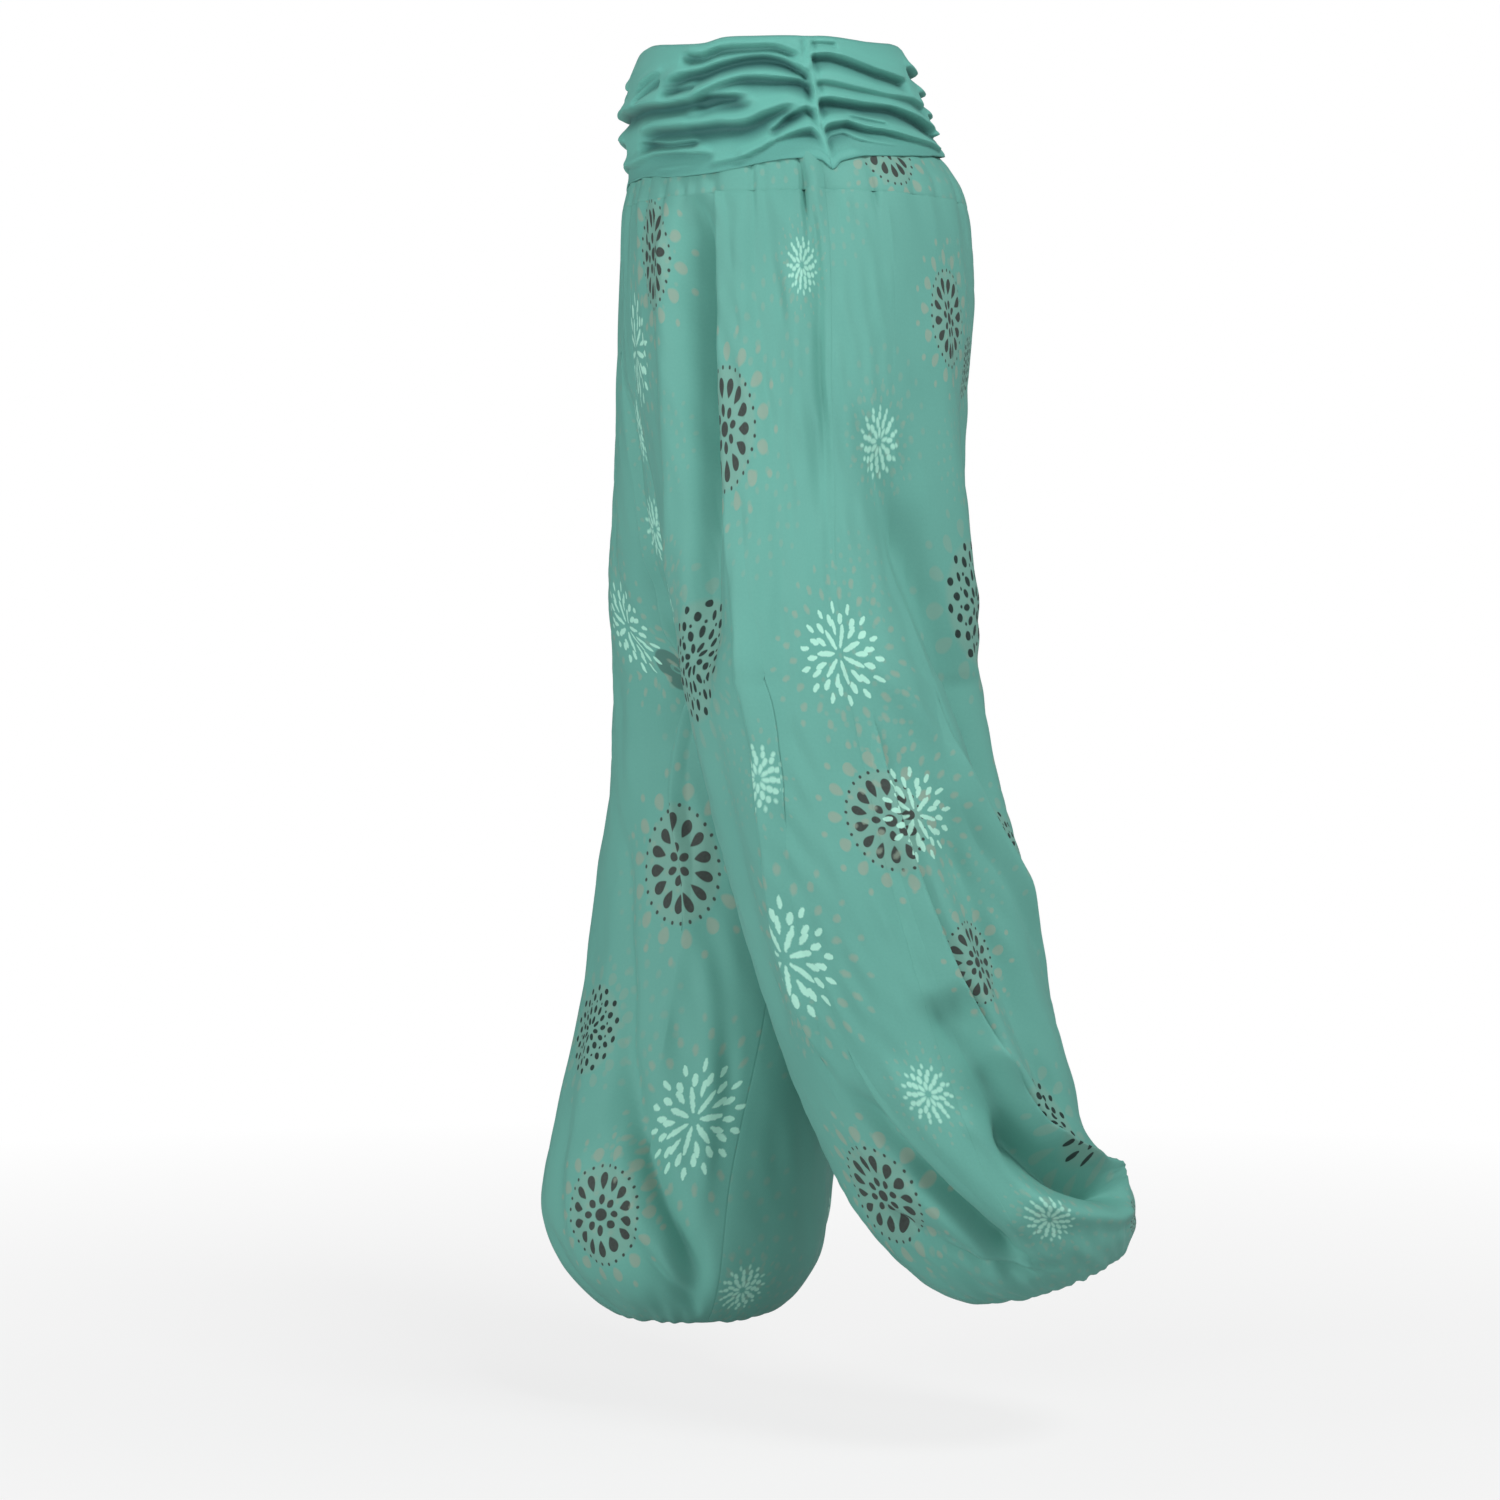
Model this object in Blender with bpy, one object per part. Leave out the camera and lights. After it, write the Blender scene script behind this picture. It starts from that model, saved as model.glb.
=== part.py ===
"""Harem pants in a walking pose, hollow, as they hang when worn with no wearer in them.

Metres, +Z up, the front towards -Y and the wearer's left towards +X. The origin is the
centre of the waist, at the level where the stretch band grips. Every piece of cloth is a
wall worked out from rings: a row of a ring table is one section, and the relief tables add
the gathers, tucks and folds.
"""

from collections import namedtuple

import bmesh
import bpy
import numpy as np

# ---- sizes ---------------------------------------------------------------------------
CLOTH = 0.0016  # wall of the woven cloth
JERSEY = 0.0022  # wall of the doubled stretch jersey
SEAM_GAP = 0.0003  # between pieces that are sewn together
SEAM_TURN = np.radians(11.0)  # the legs' side seams sit this far forward of the side
BAND_SEAM_TURN = np.radians(2.0)  # and the band's, which hangs nearly straight

LEG_COLUMNS = 16  # faces across one leg panel
GATHER_COLUMNS = 32  # and across its gathered top and hem
BAND_COLUMNS = 32
BAND_ROWS = 12
YOKE_COLUMNS = 2 * GATHER_COLUMNS
YOKE_ROWS = 2
CUFF_COLUMNS = 24
CUFF_TALL = 0.016
CUFF_WALL = 0.0022

SEAM_TILT = 0.0025  # the yoke's seam sits this much higher at the front, lower behind
SEAM_TILT_FADE = 0.08  # and the tilt dies away over this much cloth
STEP_TURN = 0.004  # over these two steps the slope of the cloth is measured
STEP_DOWN = 0.002
EDGE = 0.0005  # a panel stops this fraction of its width short of each seam

# ---- sections --------------------------------------------------------------------------
# drop: below the waist. across: from the centre plane to the leg's middle. side, inner,
# front, back: from that middle to the cloth. middle: how far behind the waist's centre
# that middle lies. tilt: degrees by which the section's back is raised.
Ring = namedtuple("Ring", "drop across side inner front back middle tilt")

HIP_RINGS = [
    Ring(0.1145, 0.000, 0.182, 0.250, 0.1316, 0.1300, 0.0188, 0),
    Ring(0.1280, 0.000, 0.187, 0.250, 0.1330, 0.1322, 0.0191, 0),
    Ring(0.1550, 0.004, 0.190, 0.250, 0.1345, 0.1326, 0.0198, 0),
    Ring(0.2050, 0.014, 0.188, 0.250, 0.1335, 0.1312, 0.0190, 0),
    Ring(0.2700, 0.042, 0.170, 0.225, 0.1260, 0.1234, 0.0150, 0),
    Ring(0.3400, 0.080, 0.142, 0.190, 0.1190, 0.1168, 0.0130, 0),
    Ring(0.4000, 0.102, 0.127, 0.152, 0.1165, 0.1165, 0.0110, 0),
    Ring(0.4500, 0.114, 0.122, 0.128, 0.1155, 0.1155, 0.0135, 0),
    Ring(0.4850, 0.120, 0.120, 0.120, 0.1150, 0.1150, 0.0160, 0),
]
LEFT_RINGS = [
    Ring(0.565, 0.126, 0.118, 0.118, 0.1150, 0.1150, 0.0320, 2),
    Ring(0.643, 0.129, 0.118, 0.117, 0.1120, 0.1130, 0.0500, 4),
    Ring(0.728, 0.130, 0.118, 0.116, 0.1090, 0.1050, 0.0740, 6),
    Ring(0.800, 0.130, 0.118, 0.116, 0.1050, 0.1010, 0.0980, 8),
    Ring(0.850, 0.130, 0.118, 0.116, 0.1020, 0.0950, 0.1180, 8),
    Ring(0.888, 0.130, 0.114, 0.112, 0.1060, 0.1060, 0.1410, 7),
    Ring(0.922, 0.130, 0.100, 0.098, 0.0900, 0.0985, 0.1580, 10),
    Ring(0.943, 0.130, 0.080, 0.078, 0.0770, 0.0800, 0.1735, 12),
    Ring(0.952, 0.130, 0.062, 0.060, 0.0600, 0.0640, 0.1860, 13),
    Ring(0.945, 0.130, 0.048, 0.047, 0.0490, 0.0480, 0.1960, 12),
    Ring(0.930, 0.130, 0.041, 0.040, 0.0410, 0.0400, 0.2015, 12),
]
RIGHT_RINGS = [
    Ring(0.585, 0.126, 0.119, 0.120, 0.1150, 0.1150, 0.0150, 0),
    Ring(0.675, 0.129, 0.119, 0.119, 0.1150, 0.1150, 0.0085, 0),
    Ring(0.765, 0.130, 0.119, 0.119, 0.1150, 0.1150, -0.0040, 0),
    Ring(0.850, 0.130, 0.120, 0.119, 0.1160, 0.1160, -0.0230, 0),
    Ring(0.895, 0.130, 0.121, 0.120, 0.1170, 0.1170, -0.0320, 0),
    Ring(0.933, 0.130, 0.120, 0.119, 0.1160, 0.1160, -0.0360, 0),
    Ring(0.971, 0.130, 0.109, 0.107, 0.1030, 0.1060, -0.0370, 0),
    Ring(1.000, 0.130, 0.086, 0.084, 0.0770, 0.0860, -0.0375, 0),
    Ring(1.012, 0.130, 0.064, 0.062, 0.0560, 0.0640, -0.0385, 0),
    Ring(1.002, 0.130, 0.049, 0.048, 0.0470, 0.0470, -0.0415, 0),
    Ring(0.982, 0.130, 0.042, 0.041, 0.0420, 0.0410, -0.0435, 0),
]
RINGS = {"left": HIP_RINGS + LEFT_RINGS, "right": HIP_RINGS + RIGHT_RINGS}
OUTWARD = {"left": 1.0, "right": -1.0}


def smooth_rows(table, place):
    """The table's columns at each place, a row number with a fraction, on smooth curves."""
    rows = np.asarray(table, dtype=float)
    place = np.clip(np.asarray(place, dtype=float), 0.0, len(rows) - 1.0)
    low = np.minimum(place.astype(int), len(rows) - 2)
    part = (place - low)[..., None]
    before = rows[np.maximum(low - 1, 0)]
    start = rows[low]
    end = rows[low + 1]
    after = rows[np.minimum(low + 2, len(rows) - 1)]
    bend = 2.0 * before - 5.0 * start + 4.0 * end - after
    twist = 3.0 * start - before - 3.0 * end + after
    return start + 0.5 * part * (end - before + part * (bend + part * twist))


def section(leg, turn, place):
    """A point of the plain form. Turn runs 0 at the side seam, 1 at the front's inner
    edge and -1 at the back's, and place is a number of rings down."""
    ring = Ring(*np.moveaxis(smooth_rows(RINGS[leg], place), -1, 0))
    end = np.arccos(-np.clip(ring.across / ring.inner, 0.0, 1.0))
    angle = SEAM_TURN + np.where(turn > 0, turn * (end - SEAM_TURN), turn * (end + SEAM_TURN))
    wide = np.where(np.cos(angle) > 0, ring.side, ring.inner)
    deep = np.where(np.sin(angle) > 0, ring.front, ring.back)
    behind = -deep * np.sin(angle)
    tilt = np.radians(ring.tilt)
    seam_drop = SEAM_TILT * (1.0 - turn) * np.exp((HIP_RINGS[0].drop - ring.drop) / SEAM_TILT_FADE)
    x = OUTWARD[leg] * np.maximum(ring.across + wide * np.cos(angle), SEAM_GAP / 2)
    y = ring.middle + behind * np.cos(tilt)
    z = behind * np.sin(tilt) - ring.drop - seam_drop
    return np.stack(np.broadcast_arrays(x, y, z), axis=-1)


def measure_down(leg):
    """Metres of cloth down the side seam from the yoke to each place."""
    places = np.linspace(0.0, len(RINGS[leg]) - 1.0, 400)
    steps = np.linalg.norm(np.diff(section(leg, 0.0, places), axis=0), axis=1)
    return places, np.concatenate([[0.0], np.cumsum(steps)])


DOWN = {leg: measure_down(leg) for leg in RINGS}
LENGTH = {leg: DOWN[leg][1][-1] for leg in RINGS}

# ---- folds and gathers -----------------------------------------------------------------
# A fold runs from (turn, down) to (end_turn, end_down), bowed sideways in the middle.
# width: from its middle to where it is a third as deep. height: out of the cloth, or into
# it where it is less than nothing.
HALF_GIRTH = 0.37  # of a leg, to measure across the cloth
LEAST_WIDTH = 0.021  # a narrower fold is built this wide and lower by as much
Fold = namedtuple("Fold", "leg turn down end_turn end_down bow width height")
FOLDS = [
    # the long overlap down the near thigh's front, with the cloth sunk in beside it
    Fold("left", 0.545, 0.00, 0.400, 0.375, 0.014, 0.020, -0.0110),
    Fold("left", 0.350, 0.00, 0.190, 0.435, 0.010, 0.020, 0.0055),
    Fold("left", 0.240, 0.435, 0.330, 0.655, 0.000, 0.018, 0.0045),
    Fold("left", 0.400, 0.415, 0.430, 0.635, 0.000, 0.018, -0.0070),
    Fold("left", 0.065, 0.025, 0.055, 0.245, 0.000, 0.011, -0.0055),
    Fold("left", 0.170, 0.00, 0.120, 0.195, 0.000, 0.018, 0.0045),
    Fold("left", 0.720, 0.015, 0.680, 0.295, 0.000, 0.018, 0.0070),
    # swept back and down to the raised heel
    Fold("left", -0.120, 0.195, -0.370, 0.495, -0.018, 0.030, -0.0140),
    Fold("left", -0.360, 0.095, -0.520, 0.335, 0.000, 0.030, 0.0060),
    Fold("left", -0.070, 0.355, -0.400, 0.585, 0.000, 0.016, 0.0095),
    Fold("left", -0.140, 0.495, -0.280, 0.735, 0.000, 0.020, -0.0120),
    Fold("left", -0.060, 0.465, -0.150, 0.705, 0.000, 0.016, 0.0095),
    Fold("left", -0.045, 0.625, -0.095, 0.745, 0.000, 0.014, -0.0100),
    Fold("left", -0.080, 0.730, -0.345, 0.798, 0.014, 0.015, -0.0160),
    Fold("left", -0.080, 0.785, -0.370, 0.827, 0.004, 0.012, 0.0080),
    Fold("left", -0.160, 0.710, -0.420, 0.792, 0.013, 0.012, 0.0080),
    Fold("left", 0.240, 0.695, 0.010, 0.855, -0.004, 0.017, -0.0100),
    Fold("left", 0.300, 0.795, 0.050, 0.860, 0.000, 0.012, -0.0060),
    Fold("left", 0.110, 0.675, -0.010, 0.815, 0.000, 0.018, 0.0060),
    Fold("left", 0.620, 0.445, 0.720, 0.795, 0.010, 0.024, -0.0070),
    Fold("left", 0.800, 0.415, 0.840, 0.755, -0.006, 0.026, 0.0060),
    Fold("left", -0.620, 0.155, -0.550, 0.615, 0.010, 0.024, -0.0075),
    Fold("left", -0.780, 0.435, -0.660, 0.775, 0.008, 0.024, 0.0060),
    # the standing leg hangs straight, with one deep crease running in under the bag
    Fold("right", 0.93, 0.155, 0.86, 0.315, 0.000, 0.016, -0.0060),
    Fold("right", 0.86, 0.295, 0.66, 0.455, 0.000, 0.018, -0.0060),
    Fold("right", 0.54, 0.495, 0.70, 0.745, -0.006, 0.020, -0.0070),
    Fold("right", 0.690, 0.695, 0.960, 0.880, 0.004, 0.015, -0.0120),
    Fold("right", 0.60, 0.755, 0.78, 0.895, 0.000, 0.020, 0.0060),
    Fold("right", 0.38, 0.045, 0.30, 0.445, 0.008, 0.022, -0.0060),
    Fold("right", 0.22, 0.095, 0.18, 0.555, -0.008, 0.028, 0.0065),
    Fold("right", 0.08, 0.015, 0.02, 0.335, 0.000, 0.018, -0.0050),
    Fold("right", 0.08, 0.555, 0.18, 0.875, -0.006, 0.024, -0.0075),
    Fold("right", 0.34, 0.495, 0.42, 0.835, 0.006, 0.026, 0.0060),
    Fold("right", -0.10, 0.395, -0.14, 0.835, 0.006, 0.028, 0.0065),
    Fold("right", -0.26, 0.435, -0.32, 0.835, 0.010, 0.024, -0.0080),
    Fold("right", -0.44, 0.095, -0.36, 0.495, 0.006, 0.024, -0.0065),
    Fold("right", -0.56, 0.295, -0.48, 0.815, 0.006, 0.028, 0.0070),
    Fold("right", -0.72, 0.195, -0.64, 0.795, -0.010, 0.024, -0.0075),
]
GATHERS = {"front": 8, "back": 6}  # along the yoke, on each panel
GATHER_HEIGHT = {"front": 0.0034, "back": 0.0024}
GATHER_FADE = 0.075  # the gathers die away over this much cloth
CUFF_GATHERS = 8  # on each panel's hem
CUFF_GATHER_HEIGHT = 0.0032
CUFF_GATHER_FADE = 0.050
SEAM_FLAT = 0.011  # within this of the yoke and the cuff the cloth lies flat
SEAM_FLAT_TURN = 0.06  # and within this part of a panel's width of the inner seams
UNEVEN = 0.35  # how far a gather strays from even spacing, in gathers


def ripple(turn, count, stray):
    """Soft waves across a panel, unevenly spaced, as gathers are."""
    wander = UNEVEN * (np.sin(9.0 * turn + stray) + np.sin(17.0 * turn + 2.0 * stray))
    size = 0.75 + 0.25 * np.sin(23.0 * turn + 3.0 * stray)
    size = size * np.clip(np.abs(turn) / SEAM_FLAT_TURN, 0.0, 1.0)
    return size * np.cos(2.0 * np.pi * (count * turn + wander))


def fold_height(fold, turn, down):
    """How far one fold lifts the cloth at a point of it."""
    run_across = (fold.end_turn - fold.turn) * HALF_GIRTH
    run_down = fold.end_down - fold.down
    length = np.hypot(run_across, run_down)
    across = (turn - fold.turn) * HALF_GIRTH
    beneath = down - fold.down
    along = (across * run_across + beneath * run_down) / length**2
    beside = (across * run_down - beneath * run_across) / length
    beside = beside - 4.0 * fold.bow * along * (1.0 - along)
    ends = np.clip(np.minimum(along, 1.0 - along) * 4.0 + 0.5, 0.0, 1.0)
    ends = ends * ends * (3.0 - 2.0 * ends)
    width = max(fold.width, LEAST_WIDTH)
    return fold.height * fold.width / width * ends * np.exp(-((beside / width) ** 2))


def relief(leg, turn, down):
    """How far the folds and gathers lift the cloth from the plain form."""
    height = np.zeros(np.broadcast(turn, down).shape)
    for fold in FOLDS:
        if fold.leg == leg:
            height = height + fold_height(fold, turn, down)
    stray = OUTWARD[leg]
    front = turn > 0
    count = np.where(front, GATHERS["front"], GATHERS["back"])
    tall = np.where(front, GATHER_HEIGHT["front"], GATHER_HEIGHT["back"])
    height = height + tall * np.exp(-down / GATHER_FADE) * ripple(turn, count, stray)
    rise = LENGTH[leg] - down
    tall = CUFF_GATHER_HEIGHT * np.exp(-rise / CUFF_GATHER_FADE)
    height = height + tall * ripple(turn, CUFF_GATHERS, stray)
    flat = np.clip((1.0 - np.abs(turn)) / SEAM_FLAT_TURN, 0.0, 1.0)
    return height * flat * (1.0 - np.exp(-down / SEAM_FLAT)) * (1.0 - np.exp(-rise / SEAM_FLAT))


def base_point(leg, turn, down):
    places, lengths = DOWN[leg]
    return section(leg, turn, np.interp(down, lengths, places))


def unit(vectors):
    return vectors / np.linalg.norm(vectors, axis=-1, keepdims=True)


def outward(point, leg, turn, down):
    """The unit normals of a leg's surface, given as a function of turn and down."""
    middle = np.where(np.abs(turn) < STEP_TURN, 0.0, turn)
    middle = np.clip(middle, STEP_TURN - 1.0, 1.0 - STEP_TURN)
    across = point(middle + STEP_TURN, down) - point(middle - STEP_TURN, down)
    middle = np.clip(down, 2.0 * STEP_DOWN, LENGTH[leg] - 2.0 * STEP_DOWN)
    along = point(turn, middle + STEP_DOWN) - point(turn, middle - STEP_DOWN)
    return OUTWARD[leg] * unit(np.cross(across, along))


def leg_surface(leg):
    """The outer side of a leg's cloth, as a function of turn and down."""

    def plain(turn, down):
        return base_point(leg, turn, down)

    def lifted(turn, down):
        normal = outward(plain, leg, turn, down)
        return plain(turn, down) + relief(leg, turn, down)[..., None] * normal

    return lifted


# ---- the waist's stretch band and the smooth yoke under it --------------------------------
BandRing = namedtuple("BandRing", "drop side front back middle")
BAND_RINGS = [
    BandRing(-0.012, 0.1340, 0.0925, 0.0910, 0.0000),
    BandRing(-0.006, 0.1380, 0.0992, 0.0962, 0.0002),
    BandRing(0.010, 0.1430, 0.1068, 0.1054, 0.0014),
    BandRing(0.033, 0.1490, 0.1156, 0.1128, 0.0034),
    BandRing(0.053, 0.1550, 0.1206, 0.1158, 0.0066),
    BandRing(0.073, 0.1620, 0.1230, 0.1185, 0.0112),
    BandRing(0.090, 0.1695, 0.1260, 0.1232, 0.0155),
    BandRing(0.105, 0.1765, 0.1300, 0.1285, 0.0182),
    BandRing(0.122, 0.1800, 0.1320, 0.1310, 0.0188),
]
Edge = namedtuple("Edge", "turn top hem")
BAND_EDGES = [  # how far the band's two edges lie below the waist, round one side
    Edge(-1.000, -0.0100, 0.0745),
    Edge(-0.480, -0.0080, 0.0835),
    Edge(-0.210, -0.0055, 0.0884),
    Edge(-0.080, -0.0040, 0.0900),
    Edge(-0.020, -0.0035, 0.0926),
    Edge(0.025, -0.0030, 0.0955),
    Edge(0.062, -0.0032, 0.1012),
    Edge(0.095, -0.0040, 0.0945),
    Edge(0.167, -0.0050, 0.0925),
    Edge(0.280, -0.0065, 0.0938),
    Edge(0.420, -0.0080, 0.0985),
    Edge(0.570, -0.0090, 0.1012),
    Edge(0.875, -0.0100, 0.0965),
    Edge(1.000, -0.0105, 0.0965),
]
BAND_LIFT = 0.0015  # between the yoke and the band over it
YOKE_TOP = 0.058  # below the waist, where the yoke ends behind the band
BAND_TALL = 0.100
OTHER_SIDE = 0.05  # how far a tuck strays on the wearer's right, as a part of the height
Tuck = namedtuple("Tuck", "face turn part end_turn end_part bow width height")
TUCKS = [  # the band's folds, part 0 at its top edge and 1 at its hem
    Tuck("front", 0.02, 0.12, 0.98, 0.10, 0.010, 0.0042, 0.0034),
    Tuck("front", 0.02, 0.30, 0.98, 0.34, -0.016, 0.0050, 0.0040),
    Tuck("front", 0.02, 0.46, 0.70, 0.42, -0.010, 0.0042, 0.0030),
    Tuck("front", 0.02, 0.58, 0.98, 0.66, 0.010, 0.0050, 0.0042),
    Tuck("front", 0.06, 0.74, 0.98, 0.84, 0.008, 0.0042, 0.0036),
    Tuck("front", 0.30, 0.54, 0.98, 0.50, 0.004, 0.0040, 0.0030),
    Tuck("front", 0.02, 0.96, 0.98, 0.97, 0.000, 0.0036, 0.0030),
    Tuck("back", -0.02, 0.10, -0.98, 0.14, -0.006, 0.0042, 0.0034),
    Tuck("back", -0.02, 0.30, -0.98, 0.36, -0.012, 0.0050, 0.0038),
    Tuck("back", -0.02, 0.50, -0.98, 0.60, -0.010, 0.0050, 0.0040),
    Tuck("back", -0.02, 0.68, -0.70, 0.84, -0.004, 0.0042, 0.0034),
    Tuck("back", -0.34, 0.44, -0.98, 0.50, 0.000, 0.0038, 0.0026),
    Tuck("back", -0.02, 0.96, -0.98, 0.97, 0.000, 0.0036, 0.0030),
]


def waist_point(side, turn, drop, lift, seam_turn):
    """A point of the waist's plain form, moved out by lift. Turn is 0 at the side seam,
    1 in the middle of the front and -1 in the middle of the back."""
    places = np.interp(drop, [ring.drop for ring in BAND_RINGS], range(len(BAND_RINGS)))
    ring = BandRing(*np.moveaxis(smooth_rows(BAND_RINGS, places), -1, 0))
    angle = seam_turn + turn * (np.pi / 2 - np.sign(turn) * seam_turn)
    deep = np.where(np.sin(angle) > 0, ring.front, ring.back)
    x = side * np.maximum((ring.side + lift) * np.cos(angle), SEAM_GAP / 2)
    y = ring.middle - (deep + lift) * np.sin(angle)
    return np.stack(np.broadcast_arrays(x, y, -drop), axis=-1)


def tuck_height(tuck, number, side, turn, part):
    """How far one tuck lifts the band at a point of it."""
    along = (turn - tuck.turn) / (tuck.end_turn - tuck.turn)
    middle = tuck.part + (tuck.end_part - tuck.part) * along
    if side < 0:
        middle = middle + OTHER_SIDE * np.sin(2.1 * number) * (1.0 - np.abs(turn))
    beside = (part - middle) * BAND_TALL - tuck.bow * along * (1.0 - along)
    ends = np.clip(np.minimum(along, 1.0 - along) * 9.0 + 0.5, 0.0, 1.0)
    return tuck.height * ends * np.exp(-((beside / tuck.width) ** 2))


def band_drop(turn, part):
    places = np.interp(turn, [edge.turn for edge in BAND_EDGES], range(len(BAND_EDGES)))
    edge = Edge(*np.moveaxis(smooth_rows(BAND_EDGES, places), -1, 0))
    return edge.top + part * (edge.hem - edge.top)


def band_outside(face, side, turn, part):
    """The outer side of the band, with its tucks."""
    lift = BAND_LIFT + JERSEY
    for number, tuck in enumerate(TUCKS):
        if tuck.face == face:
            lift = lift + tuck_height(tuck, number, side, turn, part)
    return waist_point(side, turn, band_drop(turn, part), lift, BAND_SEAM_TURN)


def band_inside(face, side, turn, part):
    return waist_point(side, turn, band_drop(turn, part), BAND_LIFT, BAND_SEAM_TURN)


def yoke_point(side, turn, part, lift):
    """A point of the yoke, which meets the legs' cloth at its lower edge."""
    leg_top = section("left", turn, 0.0) * (side, 1, 1)
    seam = -leg_top[..., 2] - SEAM_GAP
    drop = YOKE_TOP + part * (seam - YOKE_TOP)
    plain = waist_point(side, turn, drop, lift, SEAM_TURN)
    shift = leg_top - waist_point(side, turn, seam, 0.0, SEAM_TURN)
    return plain + (part**3)[..., None] * shift * (1, 1, 0)


# ---- pieces ---------------------------------------------------------------------------
def rim(first, second):
    """Triangles between two lines of points with as many points each."""
    faces = []
    for at in range(len(first) - 1):
        faces.append((first[at], first[at + 1], second[at + 1]))
        faces.append((first[at], second[at + 1], second[at]))
    return faces


def skin(rows):
    """Triangles between rows of points. A row may have twice the faces of the next."""
    faces = []
    for upper, lower in zip(rows, rows[1:]):
        if len(upper) == len(lower):
            faces += rim(upper, lower)
            continue
        many, few = (upper, lower) if len(upper) > len(lower) else (lower, upper)
        for at in range(len(few) - 1):
            faces.append((few[at], many[2 * at], many[2 * at + 1]))
            faces.append((few[at], many[2 * at + 1], few[at + 1]))
            faces.append((few[at + 1], many[2 * at + 1], many[2 * at + 2]))
    return faces


def wall(name, outer, inner, material, closed=False):
    """One closed piece of cloth from the rows of its outer and its inner points."""
    mesh_maker = bmesh.new()
    sides = []
    for rows in (outer, inner):
        made = [[mesh_maker.verts.new(point) for point in row] for row in rows]
        sides.append([row + row[:1] for row in made] if closed else made)
    faces = skin(sides[0]) + skin(sides[1])
    faces += rim(sides[0][0], sides[1][0]) + rim(sides[0][-1], sides[1][-1])
    if not closed:
        for end in (0, -1):
            faces += rim([row[end] for row in sides[0]], [row[end] for row in sides[1]])
    for face in faces:
        mesh_maker.faces.new(face)
    bmesh.ops.recalc_face_normals(mesh_maker, faces=mesh_maker.faces)
    mesh = bpy.data.meshes.new(name)
    mesh_maker.to_mesh(mesh)
    mesh_maker.free()
    mesh.shade_smooth()
    mesh.set_sharp_from_angle(angle=np.radians(50.0))
    mesh.materials.append(material)
    piece = bpy.data.objects.new(name, mesh)
    bpy.context.scene.collection.objects.link(piece)
    return piece


def crotch_down(leg):
    return np.interp(len(HIP_RINGS) - 1.0, *DOWN[leg])


def leg_rows(leg):
    """How far down each row of a leg's points lies, and how many faces it has."""
    crotch = crotch_down(leg)
    gathered = [0.0, 0.010, 0.026, 0.050, 0.082]
    hips = np.linspace(0.116, crotch - 0.032, 8)
    fork = [crotch - 0.012, crotch]
    shin = np.linspace(crotch + 0.022, LENGTH[leg] - 0.145, 11)
    hem = LENGTH[leg] - np.array([0.118, 0.094, 0.073, 0.053, 0.035, 0.018, 0.0])
    rows = [(down, GATHER_COLUMNS) for down in gathered]
    rows += [(down, LEG_COLUMNS) for down in (*hips, *fork, *shin)]
    return rows + [(down, GATHER_COLUMNS) for down in hem]


def square_to(axis, normals):
    """The normals turned square to an axis, so that a wall ends in one plane."""
    return unit(normals - (normals @ axis)[..., None] * axis)


def leg_panel(leg, face, material):
    """The front or the back of one leg, from the yoke's seam to the cuff's."""
    surface = leg_surface(leg)
    sign = 1.0 if face == "front" else -1.0
    outer = []
    inner = []
    hem_tilt = np.radians(RINGS[leg][-1].tilt)
    end_axes = {0.0: np.array([0.0, 0.0, 1.0])}
    end_axes[LENGTH[leg]] = np.array([0.0, -np.sin(hem_tilt), np.cos(hem_tilt)])
    for down, columns in leg_rows(leg):
        turn = sign * np.linspace(0.0, 1.0, columns + 1)
        depth = np.full(turn.shape, down)
        points = surface(turn, depth)
        normals = outward(surface, leg, turn, depth)
        if down >= crotch_down(leg):
            facing = outward(surface, leg, -turn[-1:], depth[-1:])
            normals[-1:] = unit(normals[-1:] + facing)
        if down in end_axes:
            normals = square_to(end_axes[down], normals)
        points[0] += SEAM_GAP / 2 * unit(points[1] - points[0])
        points[-1] += SEAM_GAP / 2 * unit(points[-2] - points[-1])
        beneath = points - CLOTH * normals
        for line in (points, beneath):
            line[:, 0] = OUTWARD[leg] * np.maximum(OUTWARD[leg] * line[:, 0], SEAM_GAP / 2)
        outer.append(points)
        inner.append(beneath)
    return wall(f"{leg}_{face}", outer, inner, material)


def round_waist(point, face, columns, part):
    """A row of points from the left side seam through the middle to the right one."""
    sign = 1.0 if face == "front" else -1.0
    turn = sign * np.linspace(EDGE, 1.0, columns // 2 + 1)
    left = point(1.0, turn, np.full(turn.shape, part))
    right = point(-1.0, turn, np.full(turn.shape, part))
    left[-1, 0] = 0.0
    return np.concatenate([left, right[-2::-1]])


def waistband(face, material):
    def outside(side, turn, part):
        return band_outside(face, side, turn, part)

    def inside(side, turn, part):
        return band_inside(face, side, turn, part)

    parts = np.linspace(0.0, 1.0, BAND_ROWS + 1)
    outer = [round_waist(outside, face, BAND_COLUMNS, part) for part in parts]
    inner = [round_waist(inside, face, BAND_COLUMNS, part) for part in parts]
    return wall(f"waistband_{face}", outer, inner, material)


def yoke(face, material):
    def outside(side, turn, part):
        return yoke_point(side, turn, part, 0.0)

    def inside(side, turn, part):
        return yoke_point(side, turn, part, -CLOTH)

    parts = np.linspace(0.0, 1.0, YOKE_ROWS + 1)
    outer = [round_waist(outside, face, YOKE_COLUMNS, part) for part in parts]
    inner = [round_waist(inside, face, YOKE_COLUMNS, part) for part in parts]
    return wall(f"yoke_{face}", outer, inner, material)


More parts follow.
